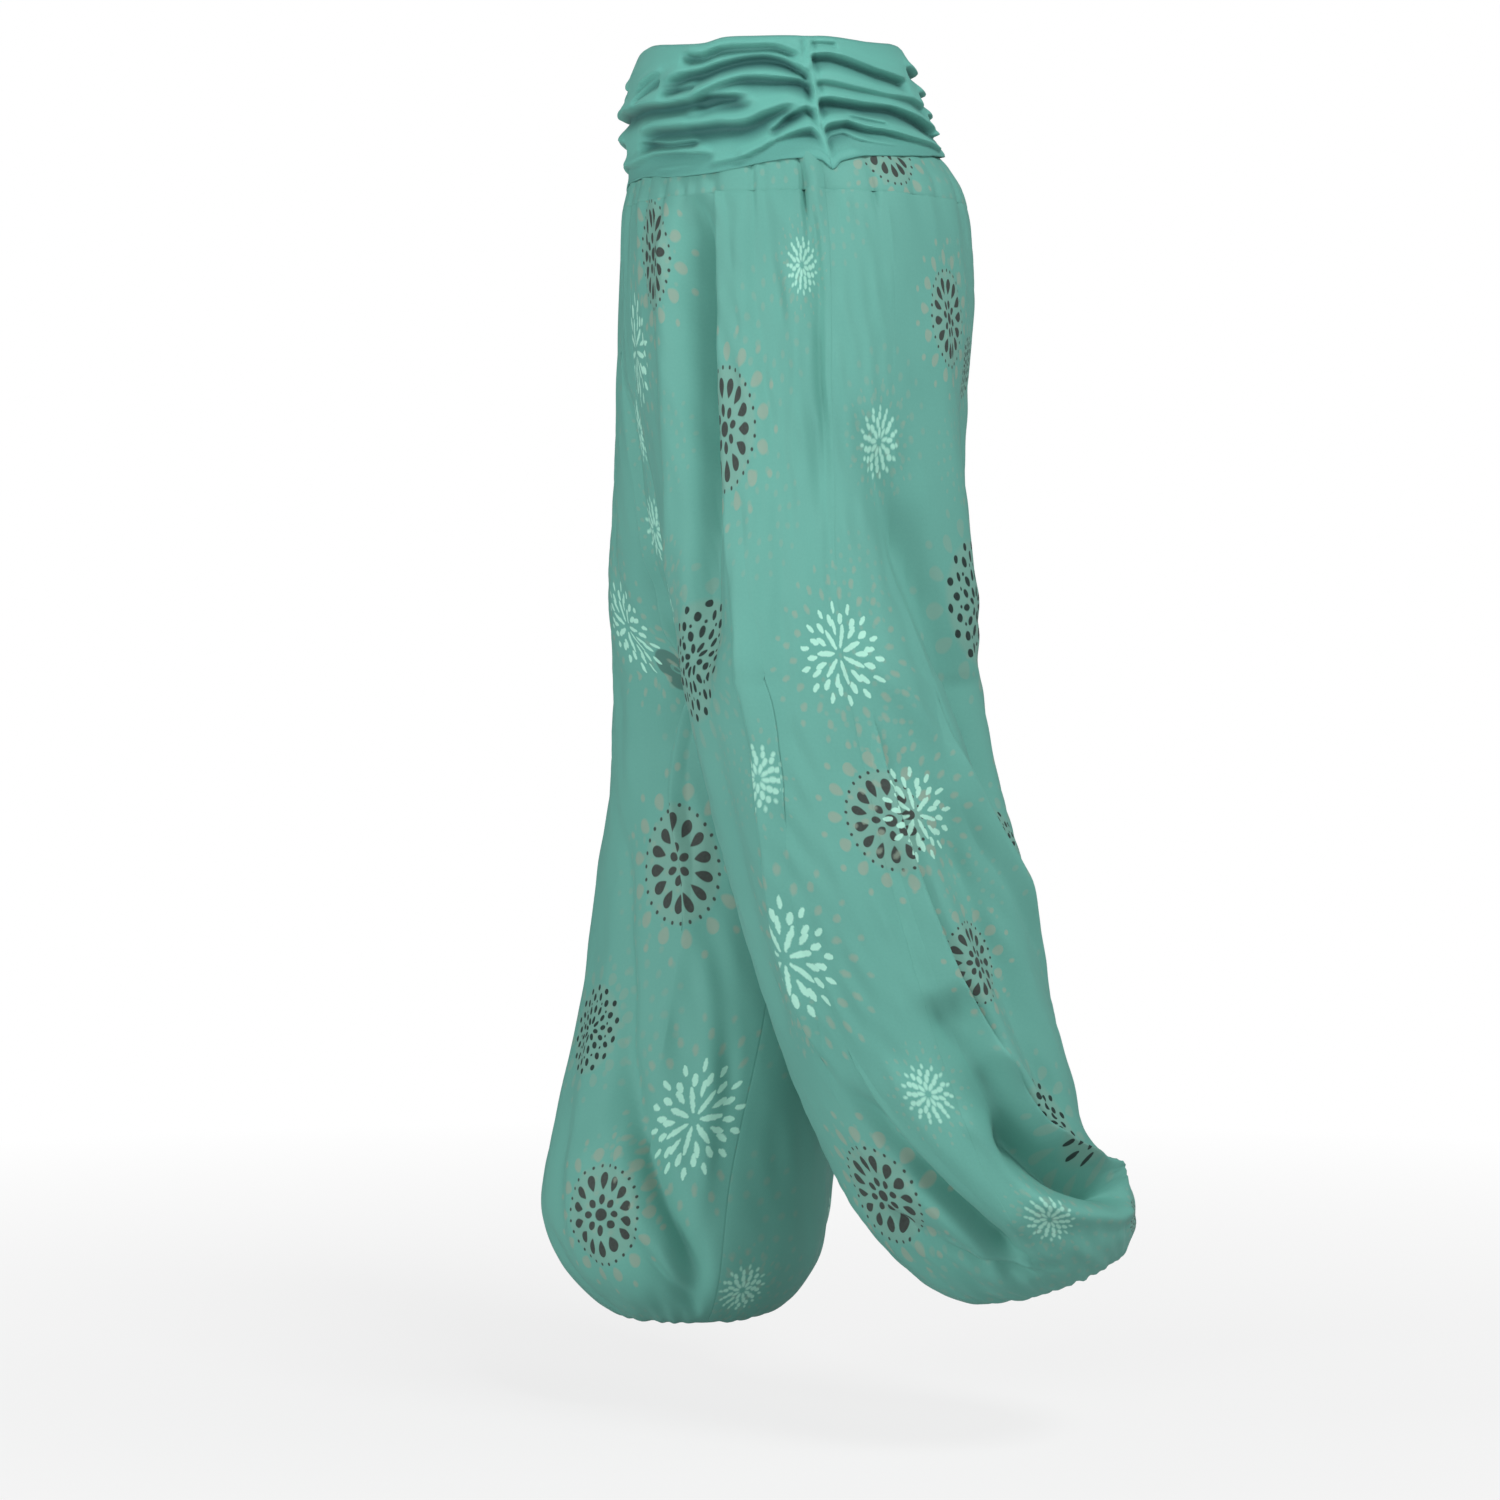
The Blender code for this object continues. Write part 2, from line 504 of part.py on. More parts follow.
def cuff(leg, material):
    """The elastic casing in which the leg ends, up inside the cloth that hangs over it."""
    ring = RINGS[leg][-1]
    tilt = np.radians(ring.tilt)
    angle = np.arange(CUFF_COLUMNS) * 2.0 * np.pi / CUFF_COLUMNS
    outer = []
    inner = []
    for rise in np.linspace(SEAM_GAP, CUFF_TALL, 3):
        for rows, thick in ((inner, 0.0), (outer, CUFF_WALL)):
            wide = np.where(np.cos(angle) > 0, ring.side, ring.inner) + thick
            deep = np.where(np.sin(angle) > 0, ring.front, ring.back) + thick
            behind = -deep * np.sin(angle)
            x = OUTWARD[leg] * (ring.across + wide * np.cos(angle))
            y = ring.middle + behind * np.cos(tilt) - rise * np.sin(tilt)
            z = behind * np.sin(tilt) + rise * np.cos(tilt) - ring.drop
            rows.append(np.stack([x, y, z], axis=-1))
    return wall(f"cuff_{leg}", outer, inner, material, closed=True)


def cloth_material(name, color, roughness):
    material = bpy.data.materials.new(name)
    material.use_nodes = True
    shader = material.node_tree.nodes["Principled BSDF"]
    shader.inputs["Base Color"].default_value = (*color, 1.0)
    shader.inputs["Roughness"].default_value = roughness
    shader.inputs["Metallic"].default_value = 0.0
    material.diffuse_color = (*color, 1.0)
    return material


def main():
    for thing in list(bpy.data.objects):
        bpy.data.objects.remove(thing)
    woven = cloth_material("printed_viscose", (0.115, 0.390, 0.315), 0.62)
    jersey = cloth_material("stretch_jersey", (0.060, 0.300, 0.245), 0.70)
    for face in ("front", "back"):
        waistband(face, jersey)
        yoke(face, woven)
        for leg in ("left", "right"):
            leg_panel(leg, face, woven)
    for leg in ("left", "right"):
        cuff(leg, woven)


main()
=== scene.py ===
"""Looks of the harem pants: fine cloth, folds, print and stretch band over the CAD solids.

Metres, +Z up, the front towards -Y and the wearer's left towards +X. The cloth's sections
and its large folds are those of the solids; this script adds the finer gathers, creases and
overlaps, the weave, the print and the stage.
"""

from collections import namedtuple

import bpy
import numpy as np
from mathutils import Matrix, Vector


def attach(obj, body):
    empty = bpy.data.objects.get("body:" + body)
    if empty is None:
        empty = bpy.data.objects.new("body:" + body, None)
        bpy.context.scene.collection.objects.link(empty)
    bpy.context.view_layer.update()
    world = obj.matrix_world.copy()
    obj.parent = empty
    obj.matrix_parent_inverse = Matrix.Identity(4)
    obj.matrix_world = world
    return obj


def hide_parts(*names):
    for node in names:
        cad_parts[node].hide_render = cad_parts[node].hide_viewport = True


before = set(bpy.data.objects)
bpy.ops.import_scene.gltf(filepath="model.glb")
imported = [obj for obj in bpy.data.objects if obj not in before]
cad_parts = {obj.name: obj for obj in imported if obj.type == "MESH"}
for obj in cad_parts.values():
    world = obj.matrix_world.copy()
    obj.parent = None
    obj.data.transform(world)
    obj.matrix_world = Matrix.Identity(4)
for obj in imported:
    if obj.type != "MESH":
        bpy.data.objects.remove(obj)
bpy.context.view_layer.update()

# ---- sizes ----
JERSEY = 0.0022  # wall of the doubled jersey in the solids
CUFF_WALL = 0.0022
CUFF_TALL = 0.016
SEAM_GAP = 0.0003
SEAM_TURN = np.radians(11.0)  # the legs' side seams sit this far forward of the side
BAND_SEAM_TURN = np.radians(2.0)  # and the band's, which hangs nearly straight
SEAM_TILT = 0.0025  # the yoke's seam sits this much higher at the front, lower behind
SEAM_TILT_FADE = 0.08
STEP_TURN = 0.004  # over these two steps the slope of the cloth is measured
STEP_DOWN = 0.002
THREAD_THICK = 0.0006  # real thickness of the woven cloth
JERSEY_THICK = 0.0011
PANEL_WIDTH = 0.42  # flat width of one leg panel, for a nominal half girth below
HALF_GIRTH = 0.37
YOKE_WIDTH = 1.10  # flat width of the yoke all round
YOKE_DEEP = 0.058
OUTWARD = {"left": 1.0, "right": -1.0}
SIGN = {"front": 1.0, "back": -1.0}


def rows_of(kind, *rows):
    """A table's rows as named tuples of one kind."""
    return [kind(*row) for row in rows]


def smooth_rows(table, place):
    """The table's columns at each place, a row number with a fraction, on smooth curves."""
    rows = np.asarray(table, dtype=float)
    place = np.clip(np.asarray(place, dtype=float), 0.0, len(rows) - 1.0)
    low = np.minimum(place.astype(int), len(rows) - 2)
    part = (place - low)[..., None]
    before = rows[np.maximum(low - 1, 0)]
    start = rows[low]
    end = rows[low + 1]
    after = rows[np.minimum(low + 2, len(rows) - 1)]
    bend = 2.0 * before - 5.0 * start + 4.0 * end - after
    twist = 3.0 * start - before - 3.0 * end + after
    return start + 0.5 * part * (end - before + part * (bend + part * twist))


def smooth_row(kind, table, place):
    """The same as one row of the kind, with an array in each field."""
    return kind(*np.moveaxis(smooth_rows(table, place), -1, 0))


def row_place(value, table, field):
    """Where a value of one field lies in a table, as a row number with a fraction."""
    return np.interp(value, [getattr(row, field) for row in table], range(len(table)))


def smooth_step(value):
    value = np.clip(value, 0.0, 1.0)
    return value * value * (3.0 - 2.0 * value)


def bell(value):
    return np.exp(-(value**2))


# ---- sections ----
# drop: below the waist. across: from the centre plane to the leg's middle. side, inner,
# front, back: from that middle to the cloth. middle: how far behind the waist's centre
# that middle lies. tilt: degrees by which the section's back is raised.
Ring = namedtuple("Ring", "drop across side inner front back middle tilt")
HIP_RINGS = rows_of(
    Ring,
    (0.1145, 0, 0.182, 0.25, 0.1316, 0.13, 0.0188, 0),
    (0.128, 0, 0.187, 0.25, 0.133, 0.1322, 0.0191, 0),
    (0.155, 0.004, 0.19, 0.25, 0.1345, 0.1326, 0.0198, 0),
    (0.205, 0.014, 0.188, 0.25, 0.1335, 0.1312, 0.019, 0),
    (0.27, 0.042, 0.17, 0.225, 0.126, 0.1234, 0.015, 0),
    (0.34, 0.08, 0.142, 0.19, 0.119, 0.1168, 0.013, 0),
    (0.4, 0.102, 0.127, 0.152, 0.1165, 0.1165, 0.011, 0),
    (0.45, 0.114, 0.122, 0.128, 0.1155, 0.1155, 0.0135, 0),
    (0.485, 0.12, 0.12, 0.12, 0.115, 0.115, 0.016, 0),
)
LEFT_RINGS = rows_of(
    Ring,
    (0.565, 0.126, 0.118, 0.118, 0.115, 0.115, 0.032, 2),
    (0.643, 0.129, 0.118, 0.117, 0.112, 0.113, 0.05, 4),
    (0.728, 0.13, 0.118, 0.116, 0.109, 0.105, 0.074, 6),
    (0.8, 0.13, 0.118, 0.116, 0.105, 0.101, 0.098, 8),
    (0.85, 0.13, 0.118, 0.116, 0.102, 0.095, 0.118, 8),
    (0.888, 0.13, 0.114, 0.112, 0.106, 0.106, 0.141, 7),
    (0.922, 0.13, 0.1, 0.098, 0.09, 0.0985, 0.158, 11),
    (0.943, 0.13, 0.08, 0.078, 0.077, 0.08, 0.1735, 15),
    (0.951, 0.13, 0.062, 0.06, 0.06, 0.064, 0.186, 18),
    (0.943, 0.13, 0.048, 0.047, 0.049, 0.048, 0.196, 18),
    (0.929, 0.13, 0.041, 0.04, 0.041, 0.04, 0.2015, 17),
)
RIGHT_RINGS = rows_of(
    Ring,
    (0.585, 0.126, 0.119, 0.12, 0.115, 0.115, 0.015, 0),
    (0.675, 0.129, 0.119, 0.119, 0.115, 0.115, 0.0085, 0),
    (0.765, 0.13, 0.119, 0.119, 0.115, 0.115, -0.004, 0),
    (0.85, 0.13, 0.12, 0.119, 0.116, 0.116, -0.023, 0),
    (0.895, 0.13, 0.121, 0.12, 0.117, 0.117, -0.032, 0),
    (0.933, 0.13, 0.12, 0.119, 0.116, 0.116, -0.036, 0),
    (0.971, 0.13, 0.109, 0.107, 0.103, 0.106, -0.037, 0),
    (1.0, 0.13, 0.086, 0.084, 0.077, 0.086, -0.0375, 0),
    (1.012, 0.13, 0.064, 0.062, 0.056, 0.064, -0.0385, 0),
    (1.002, 0.13, 0.049, 0.048, 0.047, 0.047, -0.0415, 0),
    (0.982, 0.13, 0.042, 0.041, 0.042, 0.041, -0.0435, 0),
)
RINGS = {"left": HIP_RINGS + LEFT_RINGS, "right": HIP_RINGS + RIGHT_RINGS}


def section(leg, turn, place):
    """A point of the plain form. Turn runs 0 at the side seam, 1 at the front's inner
    edge and -1 at the back's, and place is a number of rings down."""
    ring = smooth_row(Ring, RINGS[leg], place)
    end = np.arccos(-np.clip(ring.across / ring.inner, 0.0, 1.0))
    angle = SEAM_TURN + np.where(turn > 0, turn * (end - SEAM_TURN), turn * (end + SEAM_TURN))
    wide = np.where(np.cos(angle) > 0, ring.side, ring.inner)
    deep = np.where(np.sin(angle) > 0, ring.front, ring.back)
    behind = -deep * np.sin(angle)
    tilt = np.radians(ring.tilt)
    fade = np.exp((HIP_RINGS[0].drop - ring.drop) / SEAM_TILT_FADE)
    x = OUTWARD[leg] * np.maximum(ring.across + wide * np.cos(angle), SEAM_GAP / 2)
    y = ring.middle + behind * np.cos(tilt)
    z = behind * np.sin(tilt) - ring.drop - SEAM_TILT * (1.0 - turn) * fade
    return np.stack(np.broadcast_arrays(x, y, z), axis=-1)


def measure_down(leg):
    """Metres of cloth down the side seam from the yoke to each place."""
    places = np.linspace(0.0, len(RINGS[leg]) - 1.0, 400)
    steps = np.linalg.norm(np.diff(section(leg, 0.0, places), axis=0), axis=1)
    return places, np.concatenate([[0.0], np.cumsum(steps)])


DOWN = {leg: measure_down(leg) for leg in RINGS}
LENGTH = {leg: DOWN[leg][1][-1] for leg in RINGS}


def base_point(leg, turn, down):
    places, lengths = DOWN[leg]
    return section(leg, turn, np.interp(down, lengths, places))


def outward(leg, turn, down):
    """The unit normals of a leg's plain form."""
    middle = np.where(np.abs(turn) < STEP_TURN, 0.0, turn)
    middle = np.clip(middle, STEP_TURN - 1.0, 1.0 - STEP_TURN)
    across = base_point(leg, middle + STEP_TURN, down) - base_point(leg, middle - STEP_TURN, down)
    middle = np.clip(down, 2.0 * STEP_DOWN, LENGTH[leg] - 2.0 * STEP_DOWN)
    along = base_point(leg, turn, middle + STEP_DOWN) - base_point(leg, turn, middle - STEP_DOWN)
    normal = np.cross(across, along)
    return OUTWARD[leg] * (normal / np.linalg.norm(normal, axis=-1, keepdims=True))


# ---- folds ----
# A fold runs from (turn, down) to (end_turn, end_down), bowed sideways in the middle.
# width: from its middle to where it is a third as deep. height: out of the cloth, or into
# it where it is less than nothing.
Fold = namedtuple("Fold", "turn down end_turn end_down bow width height")
FOLDS = {
    "left": rows_of(
        Fold,
        # the long overlap down the near thigh's front, with the cloth sunk in beside it
        (0.55, 0, 0.41, 0.375, 0.014, 0.025, -0.02), (0.35, 0, 0.19, 0.435, 0.01, 0.02, 0.0055),
        (0.24, 0.435, 0.33, 0.655, 0, 0.018, 0.0045), (0.4, 0.415, 0.43, 0.635, 0, 0.018, -0.007),
        (0.065, 0.025, 0.055, 0.245, 0, 0.011, -0.0055), (0.17, 0, 0.12, 0.195, 0, 0.018, 0.0045),
        (0.72, 0.015, 0.68, 0.295, 0, 0.018, 0.007),
        # swept back and down to the raised heel
        (-0.12, 0.195, -0.37, 0.495, -0.018, 0.03, -0.014),
        (-0.36, 0.095, -0.52, 0.335, 0, 0.03, 0.006), (-0.07, 0.355, -0.36, 0.56, 0, 0.016, 0.007),
        (-0.14, 0.495, -0.28, 0.735, 0, 0.02, -0.012),
        (-0.06, 0.465, -0.15, 0.705, 0, 0.016, 0.0095),
        (-0.045, 0.625, -0.1, 0.75, 0, 0.02, -0.015),
        (-0.08, 0.735, -0.35, 0.8, 0.013, 0.022, -0.026),
        (-0.06, 0.786, -0.33, 0.825, 0.004, 0.013, 0.0095),
        (-0.16, 0.71, -0.42, 0.792, 0.013, 0.012, 0.008),
        (0.24, 0.695, 0.035, 0.842, -0.004, 0.014, -0.013),
        (0.3, 0.795, 0.05, 0.86, 0, 0.012, -0.006), (0.11, 0.675, -0.01, 0.815, 0, 0.018, 0.006),
        (0.62, 0.445, 0.72, 0.795, 0.01, 0.024, -0.007),
        (0.8, 0.415, 0.84, 0.755, -0.006, 0.026, 0.006),
        (-0.62, 0.155, -0.55, 0.615, 0.01, 0.024, -0.0075),
        (-0.78, 0.435, -0.66, 0.775, 0.008, 0.024, 0.006),
        # soft gutters and ridges that fan down from the gathers of the near leg
        (0.055, 0.01, 0.02, 0.295, 0, 0.0055, -0.0022),
        (0.085, 0.015, 0.06, 0.195, 0.002, 0.007, 0.002),
        (0.5, 0.015, 0.47, 0.215, 0.002, 0.01, -0.0014),
        (0.555, 0.01, 0.49, 0.35, 0.004, 0.012, -0.007),
        (0.61, 0.015, 0.55, 0.235, 0.002, 0.01, -0.0012),
        (0.32, 0.025, 0.25, 0.155, 0.002, 0.008, -0.0012),
        (0.22, 0.035, 0.15, 0.165, 0.002, 0.008, -0.001),
        (0.17, 0.215, 0.14, 0.435, 0.002, 0.011, -0.0016),
        (0.09, 0.295, 0.1, 0.615, 0.004, 0.014, 0.0018),
        (-0.02, 0.335, -0.01, 0.555, 0, 0.01, -0.0014),
        (-0.125, 0.215, -0.19, 0.445, -0.003, 0.013, -0.004),
        (-0.19, 0.25, -0.352, 0.47, -0.006, 0.02, -0.01),
        (-0.25, 0.175, -0.33, 0.435, 0.003, 0.011, -0.0026),
        (-0.035, 0.455, -0.06, 0.695, 0.003, 0.009, 0.0036),
        # round the raised heel
        (-0.095, 0.68, -0.15, 0.752, 0, 0.01, -0.006),
        (-0.14, 0.746, -0.36, 0.79, 0.008, 0.011, -0.01),
        (-0.12, 0.665, -0.215, 0.742, -0.004, 0.007, 0.005),
        (-0.2, 0.738, -0.4, 0.786, 0.006, 0.007, 0.006),
        (0, 0.715, -0.09, 0.795, -0.003, 0.008, 0.004),
        (0.175, 0.75, 0.048, 0.832, -0.003, 0.009, -0.007),
        (0.07, 0.825, -0.06, 0.86, 0, 0.005, -0.0034),
        (0.19, 0.827, 0, 0.861, 0.002, 0.0045, -0.005),
        (0.19, 0.82, 0.01, 0.853, 0.002, 0.004, 0.003),
        (0.2, 0.765, 0.1, 0.865, -0.003, 0.008, 0.0034),
        (0.3, 0.795, 0.18, 0.875, 0, 0.0065, -0.0034), (0.42, 0.795, 0.3, 0.885, 0, 0.008, 0.0026),
        (0.55, 0.775, 0.44, 0.895, 0, 0.0075, -0.003),
    ),
    "right": rows_of(
        Fold,
        # the standing leg hangs straight, with one deep crease running in under the bag
        (0.93, 0.155, 0.86, 0.315, 0, 0.016, -0.006), (0.86, 0.295, 0.66, 0.455, 0, 0.018, -0.006),
        (0.54, 0.495, 0.7, 0.745, -0.006, 0.02, -0.007),
        (0.69, 0.695, 0.96, 0.88, 0.004, 0.015, -0.012), (0.6, 0.755, 0.78, 0.895, 0, 0.02, 0.006),
        (0.545, 0.52, 0.715, 0.735, 0, 0.007, -0.003),
        (0.695, 0.715, 0.93, 0.853, 0.002, 0.0055, -0.0055),
        (0.66, 0.735, 0.9, 0.872, 0.002, 0.009, 0.003),
        (0.38, 0.045, 0.3, 0.445, 0.008, 0.022, -0.006),
        (0.22, 0.095, 0.18, 0.555, -0.008, 0.028, 0.0065),
        (0.08, 0.015, 0.02, 0.335, 0, 0.018, -0.005),
        (0.08, 0.555, 0.18, 0.875, -0.006, 0.024, -0.0075),
        (0.34, 0.495, 0.42, 0.835, 0.006, 0.026, 0.006),
        (-0.1, 0.395, -0.14, 0.835, 0.006, 0.028, 0.0065),
        (-0.26, 0.435, -0.32, 0.835, 0.01, 0.024, -0.008),
        (-0.44, 0.095, -0.36, 0.495, 0.006, 0.024, -0.0065),
        (-0.56, 0.295, -0.48, 0.815, 0.006, 0.028, 0.007),
        (-0.72, 0.195, -0.64, 0.795, -0.01, 0.024, -0.0075),
        # the standing leg
        (0.8, 0.495, 0.7, 0.795, 0.004, 0.012, 0.0026),
        (0.62, 0.615, 0.74, 0.835, -0.003, 0.008, -0.004),
        (0.5, 0.655, 0.62, 0.875, 0.002, 0.01, 0.003),
        (0.72, 0.815, 0.94, 0.9, 0.003, 0.007, -0.005),
        (0.48, 0.835, 0.6, 0.915, 0, 0.008, -0.0034),
        (0.84, 0.595, 0.94, 0.815, 0.003, 0.011, 0.003),
        (0.6, 0.295, 0.52, 0.555, 0, 0.012, 0.0022), (0.7, 0.195, 0.64, 0.415, 0, 0.008, -0.0022),
        (0.76, 0.035, 0.74, 0.215, 0, 0.008, -0.002),
    ),
}
FOLD_ENDS = 4.0  # a fold fades over one part in so many of its length, round each end
STRAY_FOLDS = 46  # faint creases on each leg, scattered
STRAY_HEIGHT = 0.0010
RUMPLE = 0.0005  # height of the shallow unevenness everywhere, a sum of so many waves
RUMPLE_WAVES = 14


def fold_height(fold, turn, down):
    """How far one fold lifts the cloth at a point of it."""
    run_across = (fold.end_turn - fold.turn) * HALF_GIRTH
    run_down = fold.end_down - fold.down
    length = np.hypot(run_across, run_down)
    across = (turn - fold.turn) * HALF_GIRTH
    beneath = down - fold.down
    along = (across * run_across + beneath * run_down) / length**2
    beside = (across * run_down - beneath * run_across) / length
    beside = beside - 4.0 * fold.bow * along * (1.0 - along)
    ends = smooth_step(np.minimum(along, 1.0 - along) * FOLD_ENDS + 0.5)
    return fold.height * ends * bell(beside / fold.width)


def stray_folds(leg):
    """Faint creases scattered over a leg, mostly running down it."""
    draw = np.random.RandomState({"left": 11, "right": 23}[leg])
    folds = []
    for _ in range(STRAY_FOLDS):
        turn = draw.uniform(-0.95, 0.95)
        down = draw.uniform(0.02, 0.86)
        lean = draw.normal(0.0, 0.05)
        reach = draw.uniform(0.04, 0.16)
        width = draw.uniform(0.007, 0.018)
        height = draw.choice([-1.0, 1.0]) * draw.uniform(0.4, 1.0) * STRAY_HEIGHT
        folds.append(Fold(turn, down, turn + lean, down + reach, 0.0, width, height))
    return folds


def rumple(leg, turn, down):
    """Shallow unevenness of loose cloth, a sum of long waves."""
    across = turn * HALF_GIRTH * OUTWARD[leg]
    height = np.zeros(np.broadcast(turn, down).shape)
    draw = np.random.RandomState({"left": 5, "right": 8}[leg])
    for _ in range(RUMPLE_WAVES):
        long_wave = draw.uniform(0.05, 0.20)
        short_wave = draw.uniform(0.018, 0.05)
        phase = draw.uniform(0.0, 2.0 * np.pi)
        lean = draw.normal(0.0, 0.25)
        wave = (across + lean * down) / short_wave + down / long_wave
        height = height + np.sin(2.0 * np.pi * wave + phase) / 3.0
    return RUMPLE * height


# ---- gathers ----
# A gather is a trough that starts at the yoke's seam, at a turn of either leg. The cloth
# between it and the next one swells out by puff.
Gather = namedtuple("Gather", "turn depth width reach puff")
GATHERS = rows_of(
    Gather,
    (-0.9, 0.0028, 0.005, 0.06, 0.0024), (-0.76, 0.0022, 0.0046, 0.03, 0.0014),
    (-0.6, 0.003, 0.0056, 0.07, 0.0026), (-0.44, 0.0018, 0.005, 0.035, 0.0016),
    (-0.33, 0.0024, 0.0056, 0.06, 0.0024), (-0.165, 0.003, 0.003, 0.024, 0.0012),
    (0, 0.001, 0.004, 0.05, 0.008), (0.086, 0.0056, 0.0026, 0.05, 0.001),
    (0.175, 0.001, 0.0034, 0.022, 0.001), (0.245, 0.0012, 0.0034, 0.045, 0.0008),
    (0.296, 0.003, 0.003, 0.06, 0.002), (0.47, 0.0026, 0.006, 0.11, 0.0004),
    (0.56, 0.0014, 0.006, 0.09, 0.0004), (0.62, 0.0022, 0.0044, 0.06, 0.0018),
    (0.735, 0.0026, 0.0044, 0.035, 0.0018), (0.86, 0.0032, 0.005, 0.075, 0.0022),
    (0.96, 0.002, 0.005, 0.04, 0),
)
GATHER_WIDE = 1.35  # a gather is this many widths wide at the seam
GATHER_WIDENS = 0.07  # and one more for every so many metres below it
PUFF_WIDE = 0.42  # of the way from one gather to the next
PUFF_REACH = 0.050
INNER_FADE = 0.04  # in turns, from the inner edge
SEAM_PINCH = 0.0002  # the yoke's seam is drawn in this far
SEAM_PINCH_WIDTH = 0.0013
HEM_GATHERS = 13  # on each panel's hem
HEM_GATHER_DEPTH = 0.0013
HEM_GATHER_REACH = 0.034
CUFF_GATHERS = 8
CUFF_GATHER_HEIGHT = 0.0024
CUFF_GATHER_FADE = 0.050
SEAM_FLAT = 0.011
SEAM_FLAT_TURN = 0.06
UNEVEN = 0.35


def ripple(turn, count, stray):
    """Soft waves across a panel, unevenly spaced, as gathers are."""
    wander = UNEVEN * (np.sin(9.0 * turn + stray) + np.sin(17.0 * turn + 2.0 * stray))
    size = 0.75 + 0.25 * np.sin(23.0 * turn + 3.0 * stray)
    size = size * np.clip(np.abs(turn) / SEAM_FLAT_TURN, 0.0, 1.0)
    return size * np.cos(2.0 * np.pi * (count * turn + wander))


def gather_height(turn, down):
    """The gathers under the yoke: narrow troughs with the cloth puffed out between."""
    height = np.zeros(np.broadcast(turn, down).shape)
    for gather in GATHERS:
        wide = gather.width * (GATHER_WIDE + down / GATHER_WIDENS)
        beside = (turn - gather.turn) * HALF_GIRTH / wide
        height = height - gather.depth * bell(beside) * np.exp(-down / gather.reach)
    for first, second in zip(GATHERS, GATHERS[1:]):
        middle = (first.turn + second.turn) / 2.0
        wide = (second.turn - first.turn) * PUFF_WIDE * HALF_GIRTH
        beside = (turn - middle) * HALF_GIRTH / wide
        height = height + first.puff * bell(beside) * np.exp(-down / PUFF_REACH)
    return height * smooth_step((1.0 - np.abs(turn)) / INNER_FADE)


def hem_height(leg, turn, rise):
    """Narrow gathers, unevenly spaced, where the cloth is drawn in to the ankle's elastic."""
    wander = 0.8 * np.sin(7.0 * turn + OUTWARD[leg])
    ridges = np.abs(np.sin(np.pi * (HEM_GATHERS * turn + wander)))
    size = 0.7 + 0.3 * np.sin(31.0 * turn)
    return HEM_GATHER_DEPTH * (ridges - 0.6) * size * np.exp(-rise / HEM_GATHER_REACH)


def relief(leg, turn, down):
    """How far folds, gathers and creases lift the cloth from the plain form."""
    turn, down = np.broadcast_arrays(turn, down)
    height = rumple(leg, turn, down)
    for fold in (*FOLDS[leg], *stray_folds(leg)):
        height = height + fold_height(fold, turn, down)
    rise = LENGTH[leg] - down
    tall = CUFF_GATHER_HEIGHT * np.exp(-rise / CUFF_GATHER_FADE)
    height = height + tall * ripple(turn, CUFF_GATHERS, OUTWARD[leg])
    height = height + hem_height(leg, turn, rise)
    flat = smooth_step((1.0 - np.abs(turn)) / SEAM_FLAT_TURN)
    for edge in (down, rise):
        flat = flat * (1.0 - np.exp(-edge / SEAM_FLAT))
    seam = SEAM_PINCH * bell(down / SEAM_PINCH_WIDTH)
    return height * flat + gather_height(turn, down) - seam


